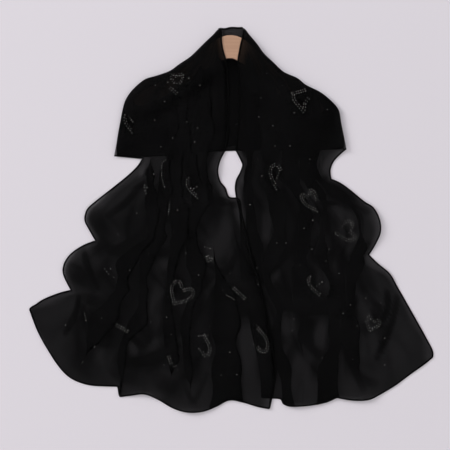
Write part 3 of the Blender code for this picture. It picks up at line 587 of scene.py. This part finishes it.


# Chiffon: crepe yarn, matte and nearly black, with light coming through between the yarns. Its opacity
# carries painted shade: it is painted higher in the core and along creases, standing in for the shade and
# extra layers of the folds, and lower at the smooth hems and in patches of painted light.
CLOTH_COLOUR = (0.0031, 0.0030, 0.0032)
MOTTLE_SPREAD = (0.8, 1.25)
FACE_OPACITY = (0.56, 0.692, 0.82, 0.93)


def new_material(name, levels):
    """A material whose shader has these levels on its own sockets, with its node tree and that shader."""
    material = bpy.data.materials.new(name)
    material.use_nodes = True
    shader = material.node_tree.nodes["Principled BSDF"]
    for socket, level in levels.items():
        shader.inputs[socket].default_value = level
    return material, material.node_tree, shader


def add_noise(tree, scale, detail=2.0, distortion=0.0, stretch=None):
    """Value of a noise on the object's own coordinates, or on those coordinates times stretch."""
    noise = tree.nodes.new("ShaderNodeTexNoise")
    noise.inputs["Scale"].default_value = scale
    noise.inputs["Detail"].default_value = detail
    noise.inputs["Distortion"].default_value = distortion
    place = tree.nodes.new("ShaderNodeTexCoord").outputs["Object"]
    if stretch:
        mapping = tree.nodes.new("ShaderNodeMapping")
        mapping.inputs["Scale"].default_value = stretch
        tree.links.new(place, mapping.inputs["Vector"])
        place = mapping.outputs["Vector"]
    tree.links.new(place, noise.inputs["Vector"])
    return noise.outputs["Fac"]


def add_tones(tree, shader, value, tones, span=(0.0, 1.0)):
    """Base colour that goes from the first tone to the second as the value goes over the span."""
    ramp = tree.nodes.new("ShaderNodeValToRGB")
    for element, position, tone in zip(ramp.color_ramp.elements, span, tones):
        element.position = position
        element.color = (*tone, 1.0)
    tree.links.new(value, ramp.inputs["Fac"])
    tree.links.new(ramp.outputs["Color"], shader.inputs["Base Color"])


def add_bump(tree, shader, value, strength, depth):
    """Relief of this strength and depth where the value rises."""
    bump = tree.nodes.new("ShaderNodeBump")
    bump.inputs["Strength"].default_value = strength
    bump.inputs["Distance"].default_value = depth
    tree.links.new(value, bump.inputs["Height"])
    tree.links.new(bump.outputs["Normal"], shader.inputs["Normal"])


def chiffon_material(name):
    """Sheer matte black cloth with a fine crepe bump. Each of its two faces has the FACE_OPACITY of its
    painted shade value: 0 at a hem, 1 where the cloth is flat, 2 in the painted shade of the core, and 3
    along a crease, so the shade of folds is painted into how much of the table shows through."""
    material, tree, shader = new_material(name, {"Roughness": 0.82, "Specular IOR Level": 0.03})
    tones = [[c * spread for c in CLOTH_COLOUR] for spread in MOTTLE_SPREAD]
    add_tones(tree, shader, add_noise(tree, scale=14.0, detail=3.0), tones, span=(0.35, 0.65))
    # Painted shade: the opacity comes from the value painted on the sheet's points.
    painted_shade = tree.nodes.new("ShaderNodeAttribute")
    painted_shade.attribute_name = "painted_shade"
    share = tree.nodes.new("ShaderNodeMath")
    share.operation = "DIVIDE"
    steps = len(FACE_OPACITY) - 1
    share.inputs[1].default_value = steps
    tree.links.new(painted_shade.outputs["Fac"], share.inputs[0])
    alpha = tree.nodes.new("ShaderNodeValToRGB")
    for i in range(1, steps):
        alpha.color_ramp.elements.new(i / steps)
    for element, opacity in zip(alpha.color_ramp.elements, FACE_OPACITY):
        element.color = (opacity, opacity, opacity, 1.0)
    tree.links.new(share.outputs["Value"], alpha.inputs["Fac"])
    tree.links.new(alpha.outputs["Color"], shader.inputs["Alpha"])
    add_bump(tree, shader, add_noise(tree, scale=900.0), strength=0.25, depth=0.2 * MM)
    return material


def lay_cloth(sheet, node):
    """Gives a sheet its cloth and puts it in the place of its solid."""
    sheet.data.materials.append(chiffon)
    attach(sheet, "root")
    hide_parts(node)


chiffon = chiffon_material("chiffon")


# The back stretch: the shawl's middle, pleated lengthwise, which lies flat on the table behind the hanger
# from one shoulder fold to the other. Its upper hem stands up past the wood at the neck.
# Columns of the hems: x_cm, y_cm. Columns of the pleats: x_cm, y_cm, half_cm
NECK_HEM = (
    (-2.9, 43.45), (-1.4, 43.5), (0.0, 43.79), (1.5, 43.72), (3.0, 43.6),
)
BACK_HEM = (
    (-26.5, 14.75), (-20.0, 14.45), (-13.0, 14.95), (-5.5, 15.6), (1.0, 15.9), (11.0, 15.95),
    (20.0, 16.05), (26.1, 16.25),
)
BACK_PLEATS = (
    ((-11.0, 32.4, 1.0), (-6.5, 33.6, 2.0), (0.0, 34.6, 2.6), (6.5, 33.2, 2.0), (11.0, 31.8, 1.0)),
    ((-21.0, 27.4, 1.0), (-10.0, 29.2, 2.6), (0.0, 29.7, 3.0), (10.0, 28.8, 2.6), (21.0, 26.6, 1.0)),
    ((-23.5, 22.8, 1.2), (-10.0, 24.0, 3.0), (0.0, 24.4, 3.2), (10.0, 24.0, 3.0), (23.5, 22.4, 1.2)),
    ((-24.8, 18.4, 1.2), (-10.0, 18.9, 2.6), (0.0, 19.2, 2.8), (10.0, 19.2, 2.6), (24.8, 18.8, 1.2)),
)


def back_panel():
    """Plan of the back stretch: rows run from the upper outline down to the lower hem, left to right."""
    left_fold = np.array(LEFT_SECTIONS)[: SHOULDER_ROWS - 1, :2]
    right_fold = np.array(RIGHT_SECTIONS)[: SHOULDER_ROWS - 1, :2]
    upper = smooth_line(np.vstack((left_fold[:0:-1], NECK_HEM, right_fold[1:])), LINE_STEPS)
    hem = np.array(BACK_HEM)
    lower = np.column_stack((upper[:, 0], np.interp(upper[:, 0], hem[:, 0], hem[:, 1])))
    return {
        "outer": upper * CM,
        "inner": lower * CM,
        "share": np.zeros(len(upper)),
        "hem": np.array((upper[-1], lower[-1])) * CM,
        "hem_at": np.array((0.0, 1.0)),
    }


BACK_PITCH = 0.31 * MM
BACK_BASE = 0.15 * MM
WOOD_CLEAR = 9.0 * MM
NECK_WOOD_TOP = 42.0 * CM
COLLAR_FADE = 0.6 * CM
# Painted shade in the back stretch's opacity: low at the collar above the wood, higher below it.
COLLAR_PAINTED_SHADE = 0.1
BACK_PAINTED_SHADE = 1.2

panel_back = back_panel()
across, stack = pleated_grid(panel_back, BACK_PLEATS, BACK_PITCH)[:2]
x, y = plan_at(panel_back, across)
raised = edge_rise(x, distance_to_line(x, y, panel_back["outer"][::2])[0])
raised = raised * smooth_step(wood_gap(x, y) / WOOD_CLEAR)
back_grid = np.stack((x, y, BACK_BASE + stack + raised))
below_collar = smooth_step((NECK_WOOD_TOP - y) / COLLAR_FADE)
back_sheet = sheet_mesh("back_stretch_cloth", *back_grid, COLLAR_PAINTED_SHADE + BACK_PAINTED_SHADE * below_collar)
lay_cloth(back_sheet, "back_stretch")


# The fronts: the shawl's two ends, folded forward over the hanger's arms. They lie on the back stretch and
# the hanger down to the shoulder corners, and on the table below; the left one laps over the right one.
FRONT_PITCH = 0.6 * MM
FRONT_BASE = 0.2 * MM
OVERLAP_TOP_Y = 7.2 * CM
OVERLAP_LEAD = 4.5 * CM
OVERLAP_RISE = 2.0 * CM
LAP_CLEAR = 0.7 * MM
LAP_REACH = 7.0 * MM
LAP_STEPS = ((0, 0), (1, 0), (-1, 0), (0, 1), (0, -1))
RIM_WIDTH = 2.1 * CM
RIM_WAVES = 0.35
RIM_WAVE_LENGTH = 2.3 * CM
RIM_DRIFT = 2.0
RIM_DRIFT_LENGTH = 3.1 * CM
SHORT_RIM = 0.95
# Painted shade in the fronts' opacity: a darker core, darker creases and fine creases, and lighter patches
# of painted light.
CORE_START = 3.5 * CM
CORE_RISE = 6.0 * CM
CORE_PAINTED_SHADE = 0.88
CREASE_PAINTED_SHADE = 1.5
CREASE_HEIGHT = 1.2 * MM
CREASE_REACH = 1.4
CREASE_ENDS = 0.4
CREASE_SPAN = (0.02, 0.98)
CREASE_AT_RIM = 0.3
PATCH_IN_CORE = 1.3
PATCH_LIGHT = 0.12
CLEAR_LIGHT = 0.95
FINE_PAINTED_SHADE = 1.05
FINE_HEIGHT = 0.7 * MM
FINE_OUTSIDE_CORE = 0.3
CRINKLE_HEIGHT = 1.5 * MM
CRINKLE_WIDTH_CM = 2.6
CRINKLE_AT_RIM = 0.4
FOLD_EASE = 2.0 * CM


def front_level(panel, x, y, from_fold, lifts, beneath):
    """Height of what a front lies on: the table or the back stretch, plus the hanger or the fold's rise,
    plus the lobes, and no less than LAP_CLEAR above a front beneath it within LAP_REACH."""
    base = OVER_BACK * panel["level"][:, None] + np.zeros(x.shape)
    if beneath is not None:
        lap = np.interp(-y, -right_edge[:, 1], right_edge[:, 0])
        lapped = smooth_step((x - lap + OVERLAP_LEAD) / OVERLAP_RISE)
        base = np.maximum(base, OVER_BACK * smooth_step((OVERLAP_TOP_Y - y) / OVERLAP_RISE) * lapped)
    wood = over_hanger(x, y) * smooth_step(from_fold / FOLD_DROP)
    base = base + np.maximum((OVER_HANGER - OVER_BACK) * wood, edge_rise(x, from_fold))
    base = base + lift_height(x, y, lifts)
    if beneath is not None:
        near = (x > lap - 2.0 * LAP_REACH) & (y < OVERLAP_TOP_Y)
        for step_x, step_y in LAP_STEPS:
            found = top_at(beneath, x[near] + step_x * LAP_REACH, y[near] + step_y * LAP_REACH)
            base[near] = np.fmax(base[near], found + LAP_CLEAR)
    return base


def crease_bands(x, y, creases):
    """Strength of the creases' painted shade and of the patches of painted light at each point: the row's
    painted shade level along its line, less towards the line's ends, fading out past the half width. Where
    rows meet, the most counts."""
    ridge = np.zeros(x.shape)
    painted_light = np.zeros(x.shape)
    for x0, y0, x1, y1, x2, y2, half, painted_shade_level in creases:
        line = smooth_line(((x0, y0), (x1, y1), (x2, y2)), LINE_STEPS) * CM
        gap, along = distance_to_line(x, y, line)
        soft = CREASE_ENDS + (1.0 - CREASE_ENDS) * np.sin(math.pi * np.clip(along, *CREASE_SPAN))
        band = abs(painted_shade_level) * soft * smooth_step(CREASE_REACH - gap / (half * CM))
        if painted_shade_level > 0.0:
            ridge = np.maximum(ridge, band)
        else:
            painted_light = np.maximum(painted_light, band)
    return ridge, painted_light


def front_painted_shade(panel, x, y, creases, fine):
    """Painted shade of a front, as an opacity level from 0 at its hems to about 3, and its ridges. It rises
    over an uneven rim and again in the core; patches of painted light take from it, and creases and fine
    creases add painted shade to it."""
    to_outer = distance_to_line(x, y, panel["outer"][panel["corner"] :: 2])[0]
    to_inner = distance_to_line(x, y, panel["inner"][::3])[0]
    to_short = distance_to_line(x, y, panel["hem"][::3])[0]
    drift = RIM_DRIFT * np.sin(y / RIM_DRIFT_LENGTH)
    rim = RIM_WIDTH * (1.0 + RIM_WAVES * np.sin(x / RIM_WAVE_LENGTH + drift))
    painted_shade = smooth_step(np.minimum(to_outer, to_inner) / rim)
    painted_shade = np.minimum(painted_shade, SHORT_RIM + (1.0 - SHORT_RIM) * smooth_step(to_short / rim))
    core = smooth_step((to_outer - CORE_START) / CORE_RISE)
    core = core * smooth_step((to_short - CORE_START) / CORE_RISE)
    ridge, painted_light = crease_bands(x, y, creases)
    core = core * np.clip(1.0 - PATCH_IN_CORE * painted_light, 0.0, 1.0)
    painted_shade = painted_shade * (1.0 + CORE_PAINTED_SHADE * core - PATCH_LIGHT * np.minimum(painted_light, 1.0))
    painted_shade = painted_shade * (1.0 - CLEAR_LIGHT * np.clip(painted_light - 1.0, 0.0, 1.0))
    firm = CREASE_AT_RIM + (1.0 - CREASE_AT_RIM) * np.minimum(painted_shade, 1.0)
    firm = np.maximum(firm, np.clip(ridge - 1.0, 0.0, 1.0))
    ridge = np.minimum(ridge, 1.0)
    painted_shade = painted_shade + CREASE_PAINTED_SHADE * ridge * firm
    fine_share = FINE_OUTSIDE_CORE + (1.0 - FINE_OUTSIDE_CORE) * core
    return np.maximum(painted_shade + FINE_PAINTED_SHADE * fine * fine_share, 0.0), ridge


def front_grid(panel, routes, creases, lifts, beneath=None):
    """Places and painted shade values of a front: its pleats stacked on the level that it lies on, plus its
    creases, and a crinkle and fine creases that ease off at the shoulder fold."""
    across, stack, kinds = pleated_grid(panel, routes, FRONT_PITCH)
    x, y = plan_at(panel, across)
    from_fold = distance_to_line(x, y, panel["outer"][: panel["corner"] + 1 : 3])[0]
    base = front_level(panel, x, y, from_fold, lifts, beneath)
    fine = fine_creases(across)
    painted_shade, ridge = front_painted_shade(panel, x, y, creases, fine)
    ease = smooth_step(from_fold / FOLD_EASE)
    held = CRINKLE_AT_RIM + (1.0 - CRINKLE_AT_RIM) * np.minimum(painted_shade, 1.0)
    waves = CRINKLE_HEIGHT * crinkle(x, y, CRINKLE_WIDTH_CM) * ease * held
    waves = waves + ease * FINE_HEIGHT * (FINE_MEAN + fine) + CREASE_HEIGHT * ridge
    return np.stack((x, y, FRONT_BASE + base + stack + waves)), painted_shade, kinds


panel_right = cut_panel(RIGHT_SECTIONS, RIGHT_BOWS, RIGHT_SHORT_HEM)
right_edge = panel_right["inner"]
right_grid, right_painted_shade, right_kinds = front_grid(panel_right, RIGHT_PLEATS, RIGHT_CREASES, RIGHT_LIFTS)
right_sheet = sheet_mesh("right_front_cloth", *right_grid, right_painted_shade)
lay_cloth(right_sheet, "right_front")

panel_left = cut_panel(LEFT_SECTIONS, LEFT_BOWS, LEFT_SHORT_HEM)
left_grid, left_painted_shade, left_kinds = front_grid(
    panel_left, LEFT_PLEATS, LEFT_CREASES, LEFT_LIFTS, tree_of(right_sheet)
)
left_sheet = sheet_mesh("left_front_cloth", *left_grid, left_painted_shade)
lay_cloth(left_sheet, "left_front")


# The rolled hem: a narrow machine-rolled edge all round the panel, in the cloth's own black, denser than
# the cloth and so darker where light comes through beside it.
HEM_RADIUS = 1.8 * MM
HEM_FLATNESS = 0.45
HEM_SIDES = 8
HEM_LEAST_STEP = 0.01 * MM
TINY = 1e-9
NECK_HALF = 3.0 * CM
TWIST_DARK = (0.0010, 0.0010, 0.0010)
TWIST_LIGHT = (0.0028, 0.0027, 0.0029)


def hem_tube(path):
    """Points and faces of a closed flattened tube round a path: an oval of HEM_SIDES points square to each
    step, lifted where it would reach below the table."""
    path = path.copy()
    path[:, 2] = np.maximum(path[:, 2], HEM_RADIUS * HEM_FLATNESS)
    ahead = np.gradient(path, axis=0)
    ahead /= np.maximum(np.linalg.norm(ahead, axis=1), TINY)[:, None]
    side = np.cross(ahead, (0.0, 0.0, 1.0))
    side /= np.maximum(np.linalg.norm(side, axis=1), TINY)[:, None]
    up = np.cross(side, ahead) * HEM_FLATNESS
    turn = np.linspace(0.0, 2.0 * math.pi, HEM_SIDES, endpoint=False)
    ring = side[:, None] * np.cos(turn)[None, :, None] + up[:, None] * np.sin(turn)[None, :, None]
    points = (path[:, None] + HEM_RADIUS * ring).reshape(-1, 3)
    index = np.arange(len(points)).reshape(len(path), HEM_SIDES)
    after = np.roll(index, -1, axis=1)
    faces = np.stack((index[:-1], index[1:], after[1:], after[:-1]), axis=-1).reshape(-1, 4)
    return points, faces.tolist() + [index[0].tolist(), index[-1, ::-1].tolist()]


def hem_piece(name, paths):
    """One object for the tubes along several paths."""
    points = []
    faces = []
    for path in paths:
        step = np.linalg.norm(np.diff(path, axis=0), axis=1)
        keep = np.concatenate(((True,), step > HEM_LEAST_STEP))
        if keep.sum() < 3:
            continue
        tube_points, tube_faces = hem_tube(path[keep])
        faces += [[i + len(points) for i in face] for face in tube_faces]
        points += tube_points.tolist()
    mesh = bpy.data.meshes.new(name)
    mesh.from_pydata(points, [], faces)
    mesh.shade_smooth()
    item = put_in_scene(name, mesh)
    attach(item, "root")
    item.data.materials.append(hem_cloth)
    return item


def hem_material():
    """Rolled chiffon: several turns of cloth, so opaque, with a fine twist along it."""
    material, tree, shader = new_material("rolled_hem", {"Roughness": 0.8, "Specular IOR Level": 0.02})
    twist = add_noise(tree, scale=350.0)
    add_tones(tree, shader, twist, (TWIST_DARK, TWIST_LIGHT))
    add_bump(tree, shader, twist, strength=0.4, depth=0.3 * MM)
    return material


hem_cloth = hem_material()


def front_hems(name, grid, kinds, corner):
    """Hems of a front: its outer edge below the shoulder corner, its inner edge, and its short hem."""
    paths = [grid[:, corner:, 0].T, grid[:, :, -1].T]
    for k in range(kinds.max() + 1):
        paths.append(grid[:, -1, kinds == k].T)
    return hem_piece(name, paths)


left_hem = front_hems("left_front_hem", left_grid, left_kinds, panel_left["corner"])
right_hem = front_hems("right_front_hem", right_grid, right_kinds, panel_right["corner"])
neck = np.abs(back_grid[0, :, 0]) < NECK_HALF
back_hem = hem_piece("back_stretch_hem", [back_grid[:, neck, 0].T, back_grid[:, :, -1].T])


# Stones: small flat-backed glass stones, heat-set on the cloth. Double rows of them draw plain hearts, and
# single studs are scattered between. A fold hides part of many hearts.
# Columns: x_cm, y_cm, width_cm, height_cm, turn_deg, from, to, of which the last two are shares of the way
# round the outline
HEARTS = (
    (-12.2, 31.7, 2.9, 3.0, 4, 0.62, 1.42), (-22.6, 22.0, 3.6, 4.4, 0, 0.5, 0.84),
    (16.7, 26.8, 6.1, 5.0, -8, 0.5, 0.8), (11.3, 9.4, 6.4, 5.5, -22, 0.5, 0.96),
    (18.3, 4.1, 3.7, 5.3, 30, 0.5, 1.28), (25.9, -2.7, 4.9, 4.6, -80, 0.7, 1.52),
    (-7.8, 7.3, 4.8, 4.8, 2, 0.5, 0.86), (-19.2, 6.8, 1.6, 2.2, 0, 0.55, 1.0),
    (-5.1, -9.0, 1.5, 1.5, -20, 0.0, 1.0), (-11.7, -17.1, 5.6, 5.5, -32, 0.02, 1.0),
    (-6.7, -28.5, 4.8, 5.0, 166, 0.5, 1.0), (5.6, -27.1, 6.2, 6.2, 176, 0.5, 1.0),
    (19.5, -15.0, 3.6, 4.8, 14, 0.46, 0.9), (32.1, -23.9, 3.4, 3.4, -22, 0.04, 1.0),
)
# Stretches of other hearts that show between folds, as straight rows. Columns: x0_cm, y0_cm, x1_cm, y1_cm,
# number of rows
HEART_STRETCHES = (
    (-13.8, 29.9, -12.4, 28.7, 2), (-14.4, 31.2, -13.7, 31.9, 1), (-14.9, 13.6, -15.8, 12.9, 1),
    (-15.8, 12.9, -15.8, 9.5, 1), (-15.8, 9.5, -15.2, 7.5, 1), (-14.0, 4.0, -14.3, 1.3, 1),
    (-26.1, -24.0, -23.6, -25.4, 2), (-14.2, -31.1, -13.7, -32.7, 2), (-12.8, -33.4, -12.4, -34.3, 2),
    (0.6, -15.6, 3.1, -17.9, 2), (-1.0, -17.2, 0.6, -18.1, 1), (-23.3, 23.6, -22.4, 22.3, 1),
    (-33.4, -21.3, -33.1, -22.9, 1), (-28.8, -11.2, -27.9, -12.4, 1), (-6.0, -6.2, -4.2, -6.7, 1),
    (-7.4, -26.5, -5.3, -26.3, 1), (19.5, -15.1, 20.7, -14.2, 1), (13.8, 28.5, 16.8, 29.4, 2),
    (17.5, 27.5, 16.7, 26.4, 2), (16.7, 26.2, 16.5, 24.9, 2), (11.3, 11.8, 10.4, 9.5, 1),
)
# Columns: x_cm, y_cm
STUDS = (
    (-17.2, 30.5), (-15.1, 26.8), (-19.7, 25.2), (-17.4, 22.7), (-7.1, 30.5), (-9.6, 32.1), (-10.1, 22.3),
    (-7.6, 20.9), (-13.3, 18.6), (-8.3, 17.7), (-16.0, 16.6), (8.1, 33.2), (11.6, 30.5), (6.8, 27.7),
    (6.3, 23.4), (9.5, 21.4), (14.3, 24.3), (21.8, 25.0), (10.0, 16.8), (13.4, 16.8), (-17.6, 10.4),
    (-21.5, 1.5), (-25.8, -3.3), (-12.2, 2.2), (-13.1, -2.8), (-10.3, -7.6), (-18.8, -7.8), (-10.1, 4.7),
    (-7.4, -12.6), (-0.3, -12.2), (6.1, 13.8), (7.0, 10.0), (17.9, 13.8), (4.3, 3.4), (10.4, -5.3),
    (12.5, -5.3), (18.6, -0.1), (16.6, -1.9), (18.4, -6.7), (22.3, -6.7), (21.6, -9.4), (15.7, -10.3),
    (24.6, -12.2), (6.1, -14.7), (-1.9, -16.0), (-29.5, -22.4), (-31.1, -29.0), (-37.7, -24.0),
    (-33.8, -32.4), (-18.3, -23.3), (-14.7, -22.2), (-13.7, -26.1), (-15.3, -33.1), (-4.9, -24.2),
    (-0.3, -30.2), (-2.3, -35.4), (1.3, -35.2), (14.3, -22.6), (20.7, -31.5), (27.7, -31.8),
    (30.7, -17.9), (27.1, -19.4), (25.5, -21.3), (40.5, -29.7), (35.0, -33.1), (35.0, -27.0),
    (28.7, -24.2), (34.1, -19.0), (-26.7, -13.1), (-23.1, -11.5), (-9.2, 7.2), (-8.5, 7.1), (-7.8, 7.5),
    (13.9, -25.2), (5.9, -11.0), (14.4, -24.9), (-27.5, -11.2),
)
STONE_RADIUS = 0.85 * MM
STONE_SIDES = 6
STONE_TOP = 0.55
STONE_HEIGHT = 0.6
STONE_PITCH = 5.2 * MM
STONE_DARK = (0.08, 0.08, 0.078)
STONE_LIGHT = (0.97, 0.96, 0.93)
ROW_GAP = 5.0 * MM
MOST_ROW_GAP = 0.13
LEAST_INSET = 0.85
HEART_SAMPLES = 400
HEART_COSINES = (13.0, -5.0, -2.0, -1.0)
HEART_MIDDLE = 2.5
HEART_TALL = 29.0


def heart_points(x_cm, y_cm, width, height, turn, start, end):
    """Places of the stones of one heart. The outline is a sine times its own size across and a sum of four
    cosines up, from its cleft round to its cleft; the second row lies ROW_GAP inside it, or MOST_ROW_GAP of
    a small heart's width. Each row is spaced evenly along its length."""
    angle = np.linspace(0.0, 2.0 * math.pi, HEART_SAMPLES)
    outline_x = np.sin(angle) * np.abs(np.sin(angle)) / 2.0
    outline_y = sum(size * np.cos((i + 1) * angle) for i, size in enumerate(HEART_COSINES))
    outline_y = (outline_y + HEART_MIDDLE) / HEART_TALL
    outline_x = outline_x * width * CM
    outline_y = outline_y * height * CM
    inward_x = np.gradient(outline_y)
    inward_y = -np.gradient(outline_x)
    speed = np.maximum(np.hypot(inward_x, inward_y), TINY)
    places = []
    for offset in (0.0, min(ROW_GAP, MOST_ROW_GAP * width * CM)):
        px = outline_x + offset * inward_x / speed
        py = outline_y + offset * inward_y / speed
        length = np.concatenate(((0.0,), np.cumsum(np.hypot(np.diff(px), np.diff(py)))))
        count = max(2, int(length[-1] * (end - start) / STONE_PITCH))
        at = (np.linspace(start, end, count, endpoint=end - start < 1.0) % 1.0) * length[-1]
        at_x = np.interp(at, length, px)
        at_y = np.interp(at, length, py)
        gap = np.hypot(at_x[:, None] - outline_x, at_y[:, None] - outline_y).min(axis=1)
        inside = gap > LEAST_INSET * offset - TINY
        places.append(np.column_stack((at_x, at_y))[inside])
    places = np.vstack(places)
    turn = math.radians(turn)
    turned_x = places[:, 0] * math.cos(turn) - places[:, 1] * math.sin(turn)
    turned_y = places[:, 0] * math.sin(turn) + places[:, 1] * math.cos(turn)
    return np.column_stack((turned_x + x_cm * CM, turned_y + y_cm * CM))


def stretch_points(x0_cm, y0_cm, x1_cm, y1_cm, rows):
    """Places of the stones of a straight stretch: one row, or two rows half of ROW_GAP each side of it."""
    ends = np.array(((x0_cm, y0_cm), (x1_cm, y1_cm))) * CM
    along = ends[1] - ends[0]
    length = np.hypot(*along)
    count = max(2, int(length / STONE_PITCH) + 1)
    middle = ends[0] + np.linspace(0.0, 1.0, count)[:, None] * along
    aside = np.array((-along[1], along[0])) / length * ROW_GAP / 2.0
    return np.vstack((middle + aside, middle - aside)) if rows == 2 else middle


def stone_mesh(name, places):
    """Low faceted domes: a wide ring, a narrower ring above it, and a flat face on top and below."""
    turn = np.linspace(0.0, 2.0 * math.pi, STONE_SIDES, endpoint=False)
    ring = np.column_stack((np.cos(turn), np.sin(turn)))
    low = np.column_stack((ring, np.zeros(STONE_SIDES)))
    high = np.column_stack((ring * STONE_TOP, np.full(STONE_SIDES, STONE_HEIGHT)))
    shape = np.vstack((low, high)) * STONE_RADIUS
    points = places[:, None, :] + shape[None, :, :]
    i = np.arange(STONE_SIDES)
    j = np.roll(i, -1)
    side = np.column_stack((i, j, j + STONE_SIDES, i + STONE_SIDES))
    starts = np.arange(len(places)) * 2 * STONE_SIDES
    sides = (side[None] + starts[:, None, None]).reshape(-1, 4)
    tops = i[None] + STONE_SIDES + starts[:, None]
    bottoms = i[None, ::-1] + starts[:, None]
    mesh = bpy.data.meshes.new(name)
    mesh.from_pydata(points.reshape(-1, 3).tolist(), [], sides.tolist() + tops.tolist() + bottoms.tolist())
    return put_in_scene(name, mesh)


def stone_material():
    """Smoky glass over a foil back: grey metal, smooth, with a little change from stone to stone."""
    material, tree, shader = new_material("stones", {"Metallic": 0.7, "Roughness": 0.22})
    add_tones(tree, shader, add_noise(tree, scale=210.0), (STONE_DARK, STONE_LIGHT), span=(0.35, 0.7))
    return material


cloth_tree = tree_of(left_sheet, right_sheet, back_sheet)
drawn = [heart_points(*row) for row in HEARTS] + [stretch_points(*row) for row in HEART_STRETCHES]
places = np.vstack(drawn + [np.array(STUDS) * CM])
heights = top_at(cloth_tree, places[:, 0], places[:, 1])
found = ~np.isnan(heights)
stones = stone_mesh("stones", np.column_stack((places, heights))[found])
stones.data.materials.append(stone_material())
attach(stones, "root")


# The hanger: plain wood, sawn from a flat board, its rims rounded, then varnished. Its grain runs along the
# arms. It lies loose between the back stretch and the fronts.
WOOD_LIGHT = (0.455, 0.267, 0.173)
WOOD_DARK = (0.405, 0.231, 0.149)
STREAK_STRETCH = (5.0, 120.0, 120.0)


def wood_material():
    """Varnished wood: long soft streaks of two browns along the arms, a fine relief and a soft gloss."""
    material, tree, shader = new_material("hanger_wood", {"Roughness": 0.42})
    streaks = add_noise(tree, scale=2.0, detail=5.0, distortion=0.6, stretch=STREAK_STRETCH)
    add_tones(tree, shader, streaks, (WOOD_DARK, WOOD_LIGHT), span=(0.35, 0.65))
    add_bump(tree, shader, streaks, strength=0.15, depth=0.5 * MM)
    return material


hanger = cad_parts["hanger"]
hanger.data.materials.clear()
hanger.data.materials.append(wood_material())


# The stage: a pale lilac-grey table top, a large soft light from the upper left and an even sky.
TABLE_COLOUR = (0.72, 0.68, 0.73)
TABLE_HALF = 4.0
TABLE_DROP = 0.3 * MM
SKY_STRENGTH = 0.70
WINDOW_SIZE = 5.6
WINDOW_POWER = 1500.0
WINDOW_PLACE = (-11.6, 6.4, 5.3)

table_mesh = bpy.data.meshes.new("table_top")
table_corners = [(x * TABLE_HALF, y * TABLE_HALF, 0.0) for x, y in ((-1, -1), (1, -1), (1, 1), (-1, 1))]
table_mesh.from_pydata(table_corners, [], [(0, 1, 2, 3)])
table_levels = {"Base Color": (*TABLE_COLOUR, 1.0), "Roughness": 0.9, "Specular IOR Level": 0.2}
table_mesh.materials.append(new_material("table_paper", table_levels)[0])
table_top = put_in_scene("table_top", table_mesh)
table_top.location.z = -TABLE_DROP

world = bpy.data.worlds.new("sky")
world.use_nodes = True
sky = world.node_tree.nodes["Background"]
sky.inputs["Color"].default_value = (1.0, 1.0, 1.0, 1.0)
sky.inputs["Strength"].default_value = SKY_STRENGTH
bpy.context.scene.world = world

key_data = bpy.data.lights.new("window_light", "AREA")
key_data.shape = "SQUARE"
key_data.size = WINDOW_SIZE
key_data.energy = WINDOW_POWER
key = put_in_scene("window_light", key_data)
key.location = WINDOW_PLACE
key.rotation_euler = (-Vector(WINDOW_PLACE)).to_track_quat("-Z", "Y").to_euler()

bpy.context.scene.view_settings.view_transform = "Standard"
